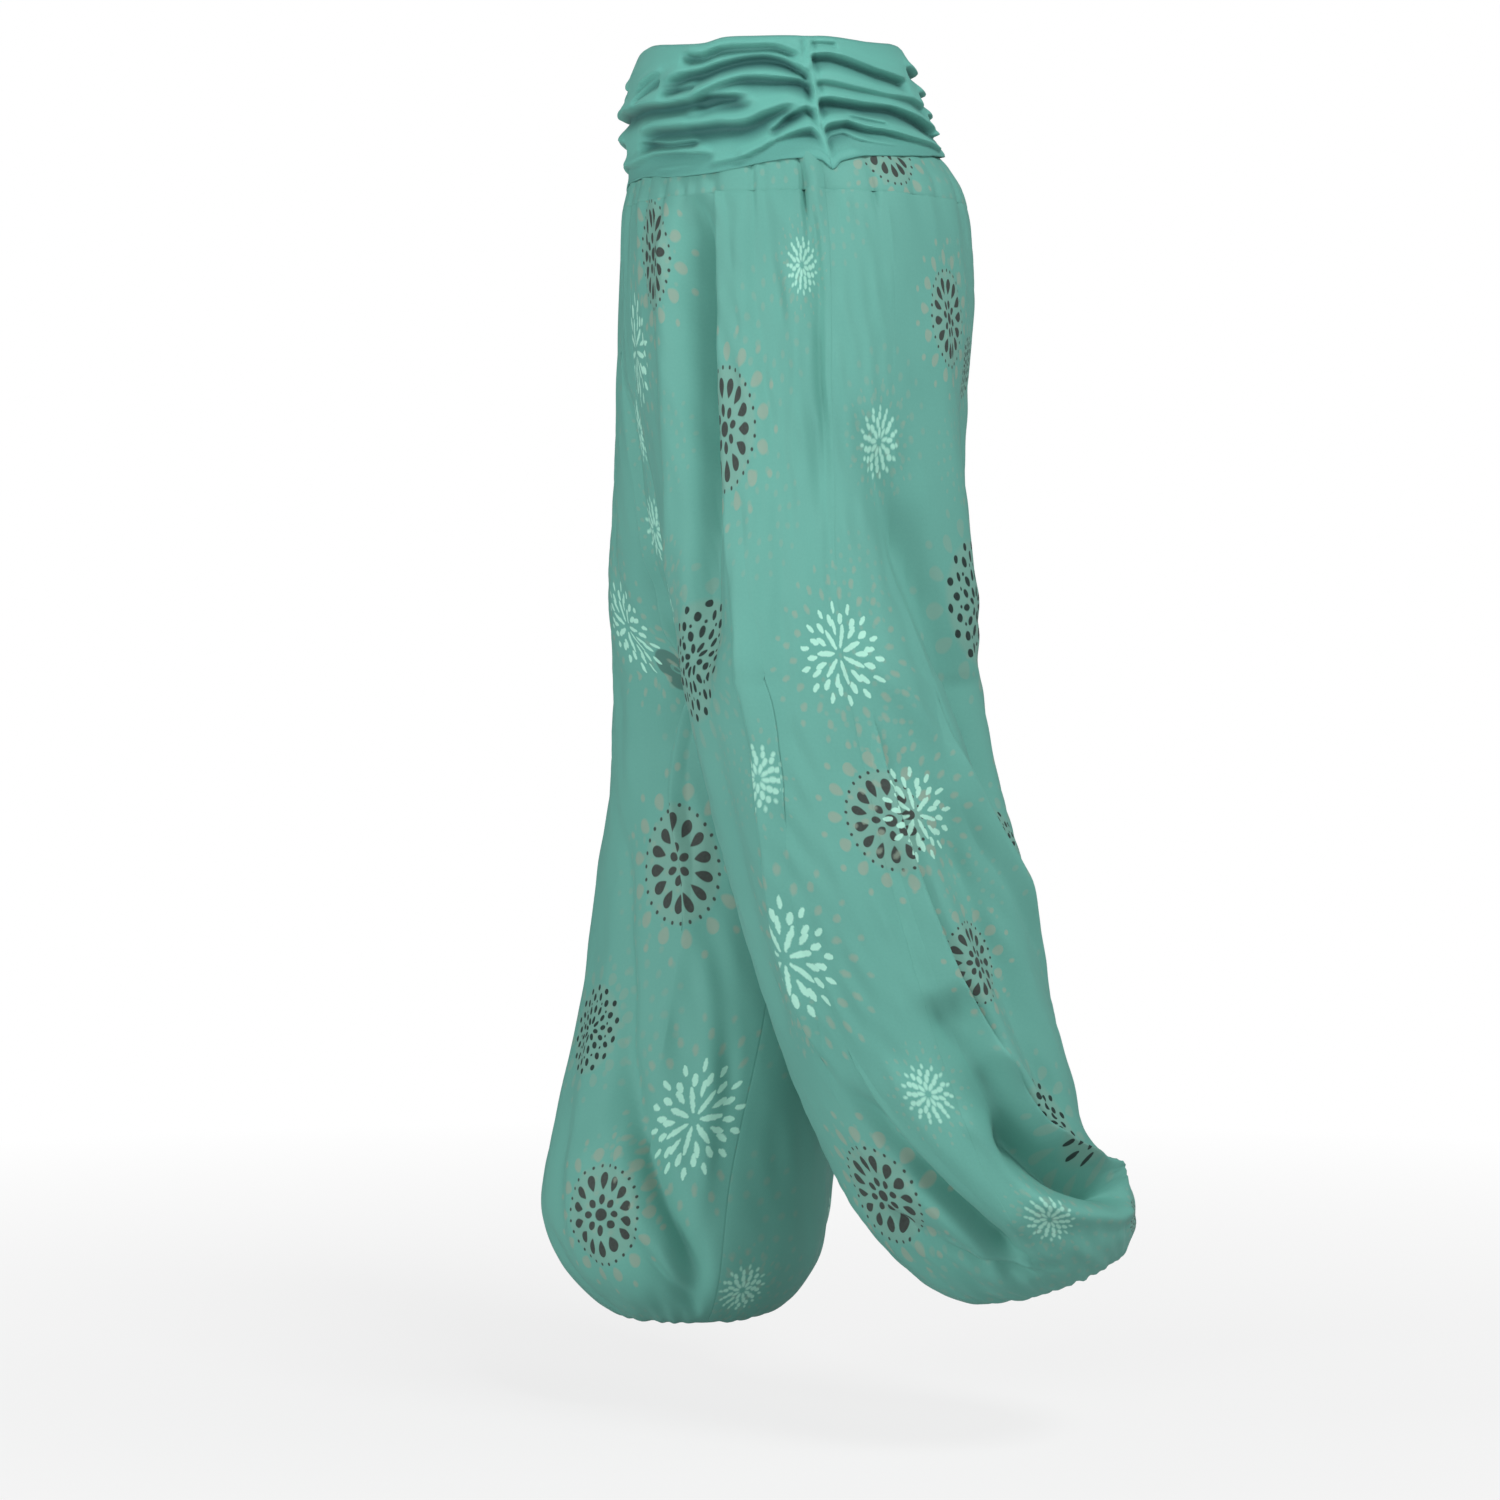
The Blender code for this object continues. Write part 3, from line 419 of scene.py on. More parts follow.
# ---- overlaps ----
# An overlap is where the loose cloth laps over itself in a narrow pleat. Its rows give how
# far down, where its edge lies, and how much cloth is hidden: less than nothing where the
# side nearer the inner seam lies on top.
Lap = namedtuple("Lap", "down turn overlap")
LAPS = {
    ("left", "front"): [
        rows_of(
            Lap,
            (0, 0.12, 0), (0.64, 0.215, 0), (0.69, 0.198, 0.004), (0.716, 0.17, 0.008),
            (0.746, 0.134, 0.01), (0.78, 0.094, 0.01), (0.805, 0.064, 0.007),
            (0.822, 0.042, 0.003), (0.838, 0.03, 0), (0.96, 0.04, 0),
        ),
        rows_of(
            Lap,
            (0, 0.45, 0.006), (0.015, 0.447, 0.01), (0.085, 0.445, 0.018), (0.155, 0.437, 0.022),
            (0.205, 0.415, 0.022), (0.241, 0.395, 0.018), (0.286, 0.34, 0.014),
            (0.317, 0.305, 0.013), (0.353, 0.268, 0.014), (0.39, 0.24, 0.014),
            (0.446, 0.25, 0.014), (0.5, 0.275, 0.012), (0.54, 0.302, 0.013), (0.575, 0.316, 0.013),
            (0.615, 0.308, 0.009), (0.675, 0.3, 0), (0.96, 0.3, 0),
        ),
    ],
    ("left", "back"): [
        rows_of(
            Lap,
            (0, 0.03, 0), (0.395, 0.04, 0), (0.435, 0.045, 0.005), (0.48, 0.048, 0.006),
            (0.53, 0.06, 0.007), (0.606, 0.085, 0.01), (0.642, 0.112, 0.014),
            (0.673, 0.133, 0.016), (0.7, 0.152, 0.017), (0.725, 0.177, 0.017),
            (0.748, 0.228, 0.014), (0.768, 0.305, 0.01), (0.785, 0.39, 0.004), (0.8, 0.44, 0),
            (0.96, 0.3, 0),
        ),
        rows_of(
            Lap,
            (0, 0.2, 0), (0.375, 0.2, 0), (0.44, 0.215, 0.009), (0.485, 0.258, 0.013),
            (0.535, 0.325, 0.013), (0.595, 0.4, 0.008), (0.675, 0.5, 0), (0.96, 0.56, 0),
        ),
    ],
    ("right", "front"): [
        rows_of(
            Lap,
            (0, 0.82, 0), (0.095, 0.86, 0), (0.174, 0.88, -0.005), (0.243, 0.87, -0.008),
            (0.306, 0.845, -0.009), (0.352, 0.79, -0.008), (0.428, 0.715, -0.008),
            (0.485, 0.72, -0.008), (0.527, 0.755, -0.006), (0.595, 0.78, 0), (0.98, 0.78, 0),
        ),
    ],
    ("right", "back"): [
        rows_of(
            Lap,
            (0, 0.48, 0), (0.115, 0.47, 0), (0.255, 0.44, 0.007), (0.415, 0.39, 0.009),
            (0.555, 0.36, 0.006), (0.695, 0.35, 0), (0.98, 0.35, 0),
        ),
    ],
}
# The lap's cross-section: across in overlaps from its edge, and its height in lifts.
LapPoint = namedtuple("LapPoint", "across height")
LAP_SECTION = rows_of(
    LapPoint,
    (-1.6, 0), (-1.05, 0.45), (-0.5, 0.86), (-0.15, 1.0), (0, 0.9), (0.04, 0.68), (-0.04, 0.48),
    (-0.3, 0.36), (-0.7, 0.27), (-0.88, 0.17), (-0.8, 0.04), (-0.4, -0.02), (0.1, -0.1), (0.7, 0),
)
LAP_LIFT = 0.0055
LAP_FULL = 0.009  # an overlap this wide has the whole lift
LAP_LEAST = 1e-4  # and a narrower one than this is none
LAP_MARGIN = 0.0022  # the least half width of the columns that carry a lap
LAP_COLUMNS = 26
PANEL_COLUMNS = 84
PANEL_ROWS = 250
ROWS_PULLED = 0.35  # how much closer the rows lie where the cloth is gathered


def panel_row(laps, down):
    """One row of a panel: for each column how far it lies from the side seam, how far the
    laps lift it, and how far along the cloth itself it is, all in metres."""
    start = 0.0
    across = []
    lift = []
    plain = PANEL_COLUMNS // (len(laps) + 1)
    share = np.linspace(0.0, len(LAP_SECTION) - 1.0, LAP_COLUMNS + 1)
    profile = smooth_row(LapPoint, LAP_SECTION, share)
    spread = np.linspace(-1.0, 1.0, LAP_COLUMNS + 1) * LAP_MARGIN
    for lap in laps:
        row = smooth_row(Lap, lap, row_place(down, lap, "down"))
        hidden = abs(row.overlap) if abs(row.overlap) > LAP_LEAST else 0.0
        local = profile.across * hidden + spread
        tall = profile.height * LAP_LIFT * smooth_step(hidden / LAP_FULL)
        if hidden and row.overlap < 0.0:
            local = -local[::-1]
            tall = tall[::-1]
        local = row.turn * HALF_GIRTH + local
        run = np.linspace(start, local[0], plain + 1)[:-1]
        across += [run, local[:-1]]
        lift += [np.zeros(len(run)), tall[:-1]]
        start = local[-1]
    across = np.concatenate([*across, np.linspace(start, HALF_GIRTH, plain + 1)])
    lift = np.concatenate([*lift, np.zeros(plain + 1)])
    along = np.concatenate([[0.0], np.cumsum(np.hypot(np.diff(across), np.diff(lift)))])
    return across, lift, along


def cloth_grid(leg, face):
    """The points of one leg panel's outer side, their places on the flat cloth, and how far
    each lies from the side seam."""
    share = np.linspace(0.0, 1.0, PANEL_ROWS + 1)
    pull = ROWS_PULLED / (2.0 * np.pi)
    downs = LENGTH[leg] * (share - pull * np.sin(2.0 * np.pi * share))
    rows = np.array([panel_row(LAPS[leg, face], down) for down in downs])
    across, lift, along = np.moveaxis(rows, 1, 0)
    turn = SIGN[face] * np.clip(across / HALF_GIRTH, 0.0, 1.0)
    down = np.broadcast_to(downs[:, None], turn.shape)
    height = relief(leg, turn, down) + lift
    points = base_point(leg, turn, down) + height[..., None] * outward(leg, turn, down)
    points[..., 0] = OUTWARD[leg] * np.maximum(OUTWARD[leg] * points[..., 0], SEAM_GAP / 2)
    flat = np.stack([SIGN[face] * along * PANEL_WIDTH / HALF_GIRTH, down], axis=-1)
    return points, flat, across


# ---- the waist's stretch band and the smooth yoke under it ----
BandRing = namedtuple("BandRing", "drop side front back middle")
BAND_RINGS = rows_of(
    BandRing,
    (-0.012, 0.134, 0.0925, 0.09, 0), (-0.006, 0.138, 0.0992, 0.0942, 0.0002),
    (0.01, 0.143, 0.1064, 0.1022, 0.0014), (0.033, 0.149, 0.1142, 0.109, 0.0034),
    (0.053, 0.155, 0.1186, 0.1124, 0.0066), (0.073, 0.162, 0.1206, 0.1158, 0.0112),
    (0.09, 0.1695, 0.1236, 0.1212, 0.0155), (0.105, 0.1765, 0.1285, 0.1275, 0.0182),
    (0.122, 0.18, 0.132, 0.131, 0.0188),
)
# how far the band's two edges lie below the waist, round one side
Edge = namedtuple("Edge", "turn top hem")
BAND_EDGES = rows_of(
    Edge,
    (-1.0, -0.008, 0.0745), (-0.48, -0.0035, 0.0835), (-0.3, -0.0012, 0.087),
    (-0.21, -0.0015, 0.0884), (-0.08, -0.0028, 0.09), (-0.02, -0.003, 0.0926),
    (0.025, -0.0027, 0.0955), (0.062, -0.0027, 0.1012), (0.095, -0.003, 0.0945),
    (0.167, -0.0032, 0.0925), (0.28, -0.0034, 0.0938), (0.44, -0.004, 0.0988),
    (0.54, -0.001, 0.1008), (0.7, -0.003, 0.1005), (0.875, -0.0066, 0.0965),
    (1.0, -0.0085, 0.0965),
)
BAND_LIFT = 0.0015  # between the yoke and the band over it

# A crease of the band is a fold whose crest follows a path of (turn, part), part 0 at the
# band's top edge and 1 at its hem; turns count from the side seam here, on the back too.
# Below the crest the cloth falls steeply, by depth over width, and comes back up slowly.
Crease = namedtuple("Crease", "face depth width path")
CREASES = rows_of(
    Crease,
    ("front", 0.0052, 0.0052, (
        (0.1, 0.115), (0.19, 0.065), (0.3, 0.058), (0.45, 0.06), (0.52, 0.072), (0.62, 0.055),
    )),
    ("front", 0.0058, 0.0056, (
        (0.05, 0.255), (0.19, 0.16), (0.3, 0.146), (0.45, 0.177), (0.6, 0.2), (0.7, 0.255),
    )),
    ("front", 0.005, 0.0052, (
        (0.045, 0.345), (0.19, 0.325), (0.3, 0.303), (0.36, 0.31), (0.45, 0.343), (0.54, 0.39),
    )),
    ("front", 0.006, 0.0052, (
        (0.34, 0.435), (0.42, 0.422), (0.53, 0.405), (0.7, 0.431), (0.87, 0.449), (1.0, 0.47),
    )),
    ("front", 0.0056, 0.0062, (
        (0.14, 0.542), (0.265, 0.605), (0.35, 0.645), (0.48, 0.611), (0.61, 0.603), (0.77, 0.61),
        (0.88, 0.66),
    )),
    ("front", 0.0034, 0.003, ((0.58, 0.728), (0.72, 0.736), (0.9, 0.733))),
    ("front", 0.0044, 0.0042, ((0.045, 0.522), (0.115, 0.583), (0.185, 0.655), (0.26, 0.745))),
    ("front", 0.005, 0.0046, (
        (0.53, 0.832), (0.665, 0.805), (0.805, 0.818), (0.9, 0.86), (1.0, 0.88),
    )),
    ("front", 0.0054, 0.0054, (
        (0.08, 0.725), (0.16, 0.771), (0.25, 0.831), (0.305, 0.882), (0.4, 0.925),
    )),
    ("front", 0.0026, 0.0022, ((0.38, 0.926), (0.5, 0.921), (0.62, 0.925), (0.8, 0.944))),
    ("front", 0.003, 0.0034, ((0.76, 0.25), (0.82, 0.293), (0.92, 0.38))),
    ("front", 0.0028, 0.0034, ((0.76, 0.2), (0.84, 0.24), (0.92, 0.3))),
    ("front", 0.0026, 0.0036, ((0.56, 0.305), (0.64, 0.319), (0.72, 0.332))),
    ("front", 0.002, 0.005, ((0.3, 0.5), (0.45, 0.505), (0.6, 0.52))),
    ("back", 0.0046, 0.0048, (
        (0.04, 0.135), (0.13, 0.167), (0.205, 0.205), (0.28, 0.241), (0.37, 0.275), (0.46, 0.31),
    )),
    ("back", 0.0018, 0.003, ((0, 0.04), (0.09, 0.045))),
    ("back", 0.003, 0.005, (
        (0, 0.35), (0.115, 0.398), (0.205, 0.424), (0.31, 0.45), (0.45, 0.47), (0.6, 0.53),
    )),
    ("back", 0.0056, 0.0058, (
        (0, 0.484), (0.075, 0.515), (0.16, 0.538), (0.3, 0.551), (0.41, 0.605), (0.51, 0.676),
        (0.62, 0.74),
    )),
    ("back", 0.0024, 0.0026, ((0.07, 0.65), (0.155, 0.68), (0.25, 0.708))),
    ("back", 0.0056, 0.0052, (
        (0.05, 0.69), (0.145, 0.75), (0.225, 0.771), (0.32, 0.822), (0.43, 0.865), (0.6, 0.935),
    )),
    ("back", 0.0044, 0.004, (
        (0.03, 0.783), (0.085, 0.855), (0.17, 0.89), (0.28, 0.912), (0.4, 0.935),
    )),
    ("back", 0.004, 0.005, ((0.55, 0.18), (0.72, 0.22), (1.0, 0.23))),
    ("back", 0.0046, 0.0052, ((0.62, 0.4), (0.8, 0.42), (1.0, 0.4))),
    ("back", 0.004, 0.0046, ((0.66, 0.6), (0.82, 0.63), (1.0, 0.6))),
    ("back", 0.0044, 0.0046, ((0.6, 0.8), (0.8, 0.78), (1.0, 0.79))),
)
BAND_TALL = 0.100
BAND_QUARTER = 0.20  # flat metres from the band's side to its middle
WORN_QUARTER = 0.21  # and worn ones, round the outside
RIDGE = 0.50  # how high a crest stands, as a part of the crease's depth
CREST_ABOVE, CREST_BELOW = 0.9, 1.6  # how narrow the crest is on its two sides
CREASE_REACH = 1.7  # in how many widths the cloth comes back up
CREASE_SCALE = 1.35  # the creases are this much deeper than the table states
CREASE_START = 0.022  # over this far from the ruching, in turns, a crease gains its depth
OTHER_SIDE = 0.045  # how far a crease strays on the wearer's right
AT_RUCHING, AT_MIDDLE = 0.06, 0.97  # a crease from or to these turns has no faded end there
EDGE_FLAT = 0.004  # the creases end this near the band's two edges
BAND_SWELL, SWELL_FROM = 0.0008, 0.02  # the band swells out, wholly from so far in
CREASE_SHADE_HEIGHT = -0.0030  # painted shade: at this height over the waist the jersey is painted darkest, in the troughs
CREST_LIGHT_HEIGHT = 0.0046  # and at this one palest, on the crests
# the band's two edges are rolled in, and its hem is stitched
ROLL_DEPTH, ROLL_WIDTH = 0.0014, 0.0016
STITCH_DEPTH, STITCH_RISE, STITCH_WIDTH = 0.0006, 0.0085, 0.0011
# Over the wearer the troughs may sink in this far. From one part of the way down they rest on
# the yoke, which the band presses in by the ease there, and no more at the other part.
SINK_MOST = 0.0050
REST_GAP = 0.0006
REST_EASE = 0.0060
REST_FROM, REST_FULL = 0.72, 0.90
# The ruching runs down each side, a little forward of the seam: at these parts, these turns.
RUCHING_PARTS = (-0.1, 0.24, 0.43, 0.60, 0.81, 1.10)
RUCHING_TURNS = (0.040, 0.045, 0.042, 0.054, 0.059, 0.072)
RUCHING_HEIGHT = 0.0024  # the gathered line stands up between two shallow gutters
RUCHING_WIDTH = 0.0026
RUCHING_END, RUCHING_FADE = 0.60, 0.12  # from this part, over the next, the cloth is smooth
GUTTER_AT, GUTTER_WIDE = 2.2, 0.9  # the gutters beside the line, in its widths
PUCKERS = 12  # small puckers down the ruching
PUCKER_HEIGHT = 0.0004
PUCKER_AT, PUCKER_WIDE = 2.4, 2.0
YOKE_TOP = 0.058
YOKE_SINK = 0.0062  # the band presses the hidden part of the yoke in this far
SINK_TO, SINK_FADE = 0.20, 0.32  # down to this part of it, and over the next ever less
GATHERED_FROM, GATHERED_OVER = 0.15, 0.85  # the gathers pucker it below this part
BAND_COLUMNS = 200  # round each half of the band, front or back
BAND_ROWS = 84
YOKE_ROWS = 22
CUFF_COLUMNS = 160
CUFF_ROWS = 14
CUFF_RIBS = 34.0  # round each casing
CUFF_WEAVE = (0.12, 2.0)  # how its weave is spread: metres a radian, and for a metre of rise


def waist_point(side, turn, drop, lift, seam_turn):
    """A point of the waist's plain form, moved out by lift. Turn is 0 at the side seam,
    1 in the middle of the front and -1 in the middle of the back."""
    ring = smooth_row(BandRing, BAND_RINGS, row_place(drop, BAND_RINGS, "drop"))
    angle = seam_turn + turn * (np.pi / 2 - np.sign(turn) * seam_turn)
    deep = np.where(np.sin(angle) > 0, ring.front, ring.back)
    x = side * np.maximum((ring.side + lift) * np.cos(angle), SEAM_GAP / 2)
    y = ring.middle - (deep + lift) * np.sin(angle)
    return np.stack(np.broadcast_arrays(x, y, -drop), axis=-1)


def ruching_turn(part):
    return np.interp(part, RUCHING_PARTS, RUCHING_TURNS)


def crease_height(crease, number, side, place, part):
    """One crease's trough with the crest above it. Place is how far round it lies."""
    rows = np.array(crease.path)
    places = np.interp(place, rows[:, 0], range(len(rows)))
    middle = smooth_rows(rows, places)[..., 1]
    depth = crease.depth * CREASE_SCALE
    if side < 0:
        middle = middle + OTHER_SIDE * np.sin(2.1 * number) * (1.0 - place)
        depth = depth * (0.85 + 0.25 * np.cos(1.7 * number))
    low, high = rows[0, 0], rows[-1, 0]
    fade = 0.10 * (high - low) + 0.02
    start = np.where(low < AT_RUCHING, 1.0, smooth_step((place - low) / fade + 0.5))
    stop = np.where(high > AT_MIDDLE, 1.0, smooth_step((high - place) / fade + 0.5))
    beside = (part - middle) * BAND_TALL / crease.width
    crest = bell(beside * np.where(beside < 0.0, CREST_ABOVE, CREST_BELOW))
    rest = bell(np.maximum(beside - 1.0, 0.0) / CREASE_REACH)
    return depth * start * stop * (RIDGE * crest - smooth_step(beside) * rest)


def ruching_height(turn, part):
    """The narrow gathered line down the side, with its puckers."""
    beside = np.abs(turn - ruching_turn(part)) * WORN_QUARTER / RUCHING_WIDTH
    puckers = np.sin(2.0 * np.pi * (PUCKERS * part + 0.6 * np.sin(7.0 * part)))
    ridge = bell(beside) - 0.5 * bell((beside - GUTTER_AT) / GUTTER_WIDE)
    rays = PUCKER_HEIGHT * puckers * bell((beside - PUCKER_AT) / PUCKER_WIDE)
    above = 1.0 - smooth_step((part - RUCHING_END) / RUCHING_FADE)
    return (RUCHING_HEIGHT * ridge * (0.85 + 0.15 * puckers) + rays) * above


def band_height(face, side, turn, part):
    """How far the band's outside stands off the waist's plain form."""
    height = np.zeros(np.broadcast(turn, part).shape)
    away = SIGN[face] * (turn - ruching_turn(part))
    for number, crease in enumerate(CREASES):
        if crease.face == face:
            height = height + crease_height(crease, number, side, SIGN[face] * turn, part)
    height = height * smooth_step(away / CREASE_START) + ruching_height(turn, part)
    edges = np.minimum(part, 1.0 - part) * BAND_TALL
    rolled = ROLL_DEPTH * bell(edges / ROLL_WIDTH)
    stitched = STITCH_DEPTH * bell(((1.0 - part) * BAND_TALL - STITCH_RISE) / STITCH_WIDTH)
    height = height * smooth_step(edges / EDGE_FLAT + 0.25)
    height = height + BAND_SWELL * smooth_step(edges / SWELL_FROM)
    ease = smooth_step((REST_FULL - part) / (REST_FULL - REST_FROM))
    least = np.where(part < REST_FROM, -SINK_MOST, BAND_LIFT + REST_GAP - REST_EASE * ease)
    sunk = BAND_LIFT + JERSEY + height - stitched - rolled
    return least + np.logaddexp(0.0, (sunk - least) / REST_GAP) * REST_GAP


def both_sides(left, right):
    """Rows from the left side to the middle, and on from there to the right side."""
    return np.concatenate([left, right[:, -2::-1]], axis=1)


def band_grid(face):
    """The band's outer points from the left side's ruching round to the right one, their
    places on the flat cloth, and how light the painted shade leaves each: 0 darkest in the deepest
    troughs, 1 palest on the crests."""
    share = np.linspace(0.0, 1.0, BAND_COLUMNS // 2 + 1)[None, :]
    part = np.linspace(0.0, 1.0, BAND_ROWS + 1)[:, None]
    start = ruching_turn(part)
    turn = start + (SIGN[face] - start) * (0.55 * share + 0.45 * share**2)
    turn, part = np.broadcast_arrays(turn, part)
    edge = smooth_row(Edge, BAND_EDGES, row_place(turn, BAND_EDGES, "turn"))
    drop = edge.top + part * (edge.hem - edge.top)
    heights = [band_height(face, side, turn, part) for side in (1.0, -1.0)]
    left, right = (
        waist_point(side, turn, drop, height, BAND_SEAM_TURN)
        for side, height in zip((1.0, -1.0), heights)
    )
    left[:, -1, 0] = 0.0
    along = both_sides(turn, 2.0 * SIGN[face] - turn) * BAND_QUARTER
    flat = np.stack([along, both_sides(part, part) * BAND_TALL], axis=-1)
    # painted shade: the jersey's colour is darker the lower it lies, so its troughs look shaded
    crest_light = (both_sides(*heights) - CREASE_SHADE_HEIGHT) / (CREST_LIGHT_HEIGHT - CREASE_SHADE_HEIGHT)
    crest_light = np.clip(crest_light, 0.0, 1.0)
    return both_sides(left, right), flat, np.stack([crest_light, crest_light], axis=-1)


def yoke_grid(face):
    """The narrow strip between the band and the gathered legs, puckered by their gathers."""
    turn = SIGN[face] * np.linspace(0.0, 1.0, BAND_COLUMNS // 2 + 1)[None, :]
    part = np.linspace(0.0, 1.0, YOKE_ROWS + 1)[:, None]
    turn, part = np.broadcast_arrays(turn, part)
    halves = []
    for side in (1.0, -1.0):
        leg_top = section("left", turn, 0.0) * (side, 1, 1)
        seam = -leg_top[..., 2]
        drop = YOKE_TOP + part * (seam - YOKE_TOP)
        swell = gather_height(turn, 0.0) * smooth_step((part - GATHERED_FROM) / GATHERED_OVER)
        swell = swell - YOKE_SINK * (1.0 - smooth_step((part - SINK_TO) / SINK_FADE))
        swell = swell - SEAM_PINCH * bell((seam - drop) / SEAM_PINCH_WIDTH)
        plain = waist_point(side, turn, drop, swell, SEAM_TURN)
        shift = leg_top - waist_point(side, turn, seam, 0.0, SEAM_TURN)
        halves.append(plain + (part**3)[..., None] * shift * (1, 1, 0))
    halves[0][:, -1, 0] = 0.0
    along = both_sides(turn, 2.0 * SIGN[face] - turn) * YOKE_WIDTH / 4.0
    flat = np.stack([along, both_sides(part, part) * YOKE_DEEP], axis=-1)
    return both_sides(*halves), flat


def cuff_grid(leg):
    """The elastic casing at the ankle, drawn up into small even ribs."""
    ring = RINGS[leg][-1]
    tilt = np.radians(ring.tilt)
    angle = np.linspace(0.0, 2.0 * np.pi, CUFF_COLUMNS + 1)[None, :]
    rise = np.linspace(0.0, CUFF_TALL, CUFF_ROWS + 1)[:, None]
    angle, rise = np.broadcast_arrays(angle, rise)
    bulge = np.sin(np.pi * rise / CUFF_TALL)
    ribs = 0.30 * bulge * np.sin(CUFF_RIBS * angle + np.sin(5.0 * angle))
    ribs = CUFF_WALL * (0.25 + 0.45 * bulge + ribs)
    wide = np.where(np.cos(angle) > 0, ring.side, ring.inner) + ribs
    deep = np.where(np.sin(angle) > 0, ring.front, ring.back) + ribs
    behind = -deep * np.sin(angle)
    x = OUTWARD[leg] * (ring.across + wide * np.cos(angle))
    y = ring.middle + behind * np.cos(tilt) - rise * np.sin(tilt)
    z = behind * np.sin(tilt) + rise * np.cos(tilt) - ring.drop
    flat = np.stack([angle, rise], axis=-1) * CUFF_WEAVE
    return np.stack([x, y, z], axis=-1), flat


# ---- the print: where its flowers lie ----
# turn and down are on the leg, radius is in metres, spin in turns. Flowers in pale ink are
# dahlias, open or dense; those in dark ink are medallions of drops or rosettes of dots.
Motif = namedtuple("Motif", "turn down radius kind spin")
OPEN = DROPS = 0.0
DENSE = DOTS = 1.0
PALE_MOTIFS = {
    "left": rows_of(
        Motif,
        (0.11, 0.06, 0.022, DENSE, 0.1), (-0.148, 0.194, 0.0262, DENSE, 0.35),
        (0.015, 0.354, 0.0385, OPEN, 0), (0.235, 0.446, 0.025, DENSE, 0.2),
        (0.295, 0.58, 0.047, OPEN, 0.06), (-0.072, 0.475, 0.036, OPEN, 0.4),
        (0.055, 0.694, 0.023, DENSE, 0.7), (-0.075, 0.806, 0.0215, DENSE, 0.15),
        (0.965, 0.115, 0.044, OPEN, 0.25),
    ),
    "right": rows_of(
        Motif,
        (0.65, 0.336, 0.037, OPEN, 0.12), (0.985, 0.18, 0.024, DENSE, 0.3),
        (0.955, 0.257, 0.025, DENSE, 0.55), (0.89, 0.735, 0.048, OPEN, 0.02),
        (-0.945, 0.876, 0.024, DENSE, 0.6),
    ),
}
DARK_MOTIFS = {
    "left": rows_of(
        Motif,
        (0.385, 0.183, 0.0465, DROPS, 0), (-0.44, 0.098, 0.037, DROPS, 0.2),
        (-0.452, 0.316, 0.047, DOTS, 0.1), (-0.026, 0.479, 0.037, DROPS, 0.05),
        (-0.35, 0.509, 0.033, DOTS, 0.45), (-0.135, 0.596, 0.031, DROPS, 0.3),
        (-0.218, 0.736, 0.037, DOTS, 0.6), (0.29, 0.777, 0.042, DROPS, 0.15),
        (-0.375, 0.838, 0.02, DOTS, 0.75), (0.5, 0.363, 0.045, DOTS, 0.35),
        (0.77, 0.044, 0.042, DROPS, 0.5),
    ),
    "right": rows_of(
        Motif,
        (0.765, 0.527, 0.047, DROPS, 0.1), (0.52, 0.667, 0.036, DOTS, 0.3),
        (0.695, 0.811, 0.0385, DROPS, 0.55),
    ),
}
DISCS = {"left": [], "right": [Motif(0.735, 0.37, 0.017, 0, 0)]}
YOKE_DARK = {"front": [], "back": [Motif(-0.255, 0.021, 0.03, DROPS, 0.25)]}
YOKE_FAINT = 6  # faint rings on each half of the yoke, in two staggered rows
YOKE_FAINT_RADIUS = 0.034
SPREAD_DOWN = 0.150  # spacing of the flowers on the sides that are turned away
SPREAD_ACROSS = 0.300  # in turns
# On each leg flowers are spread by rule where the turn lies between the first two values and
# down between the last two.
AWAY = {
    "left": [(-0.98, -0.60, 0.02, 0.88), (0.70, 0.98, 0.30, 0.90)],
    "right": [(-0.60, 0.36, 0.02, 0.90)],
}
FAINT_ACROSS = 0.40
FAINT_DOWN = 0.125
SMALL = 0.030  # a scattered pale flower smaller than this is a dense one
NO_MOTIF = 9.0  # this many radii from a flower nothing of it is printed


def spread(leg, draw):
    """Flowers for the parts that are turned away, on an uneven half-drop repeat."""
    found = []
    for low, high, top, foot in AWAY[leg]:
        for column, turn in enumerate(np.arange(low + 0.08, high, SPREAD_ACROSS)):
            start = top + 0.04 + 0.5 * (column % 2) * SPREAD_DOWN
            for down in np.arange(start, foot, SPREAD_DOWN):
                across = turn + draw.uniform(-0.05, 0.05)
                along = down + draw.uniform(-0.02, 0.02)
                radius = draw.choice([0.024, 0.036, 0.044], p=[0.45, 0.30, 0.25])
                found.append((across, along, radius, draw.uniform(0.0, 1.0)))
    return found


def leg_motifs(leg):
    """All of a leg's flowers: pale, dark, and the faint rings printed beneath both."""
    draw = np.random.RandomState({"left": 41, "right": 67}[leg])
    pale = list(PALE_MOTIFS[leg])
    dark = list(DARK_MOTIFS[leg])
    for number, (turn, down, radius, spin) in enumerate(spread(leg, draw)):
        if number % 2:
            pale.append(Motif(turn, down, radius, DENSE if radius < SMALL else OPEN, spin))
        else:
            dark.append(Motif(turn, down, radius, DOTS if number % 4 else DROPS, spin))
    faint = []
    for column, turn in enumerate(np.arange(-0.90, 1.0, FAINT_ACROSS)):
        for down in np.arange(0.04 + 0.5 * (column % 2) * FAINT_DOWN, 0.94, FAINT_DOWN):
            across = turn + draw.uniform(-0.08, 0.08)
            along = down + draw.uniform(-0.03, 0.03)
            radius = draw.uniform(0.026, 0.046)
            faint.append(Motif(across, along, radius, 0.0, draw.uniform(0.0, 1.0)))
    return {"pale": pale, "dark": dark, "faint": faint, "discs": DISCS[leg]}


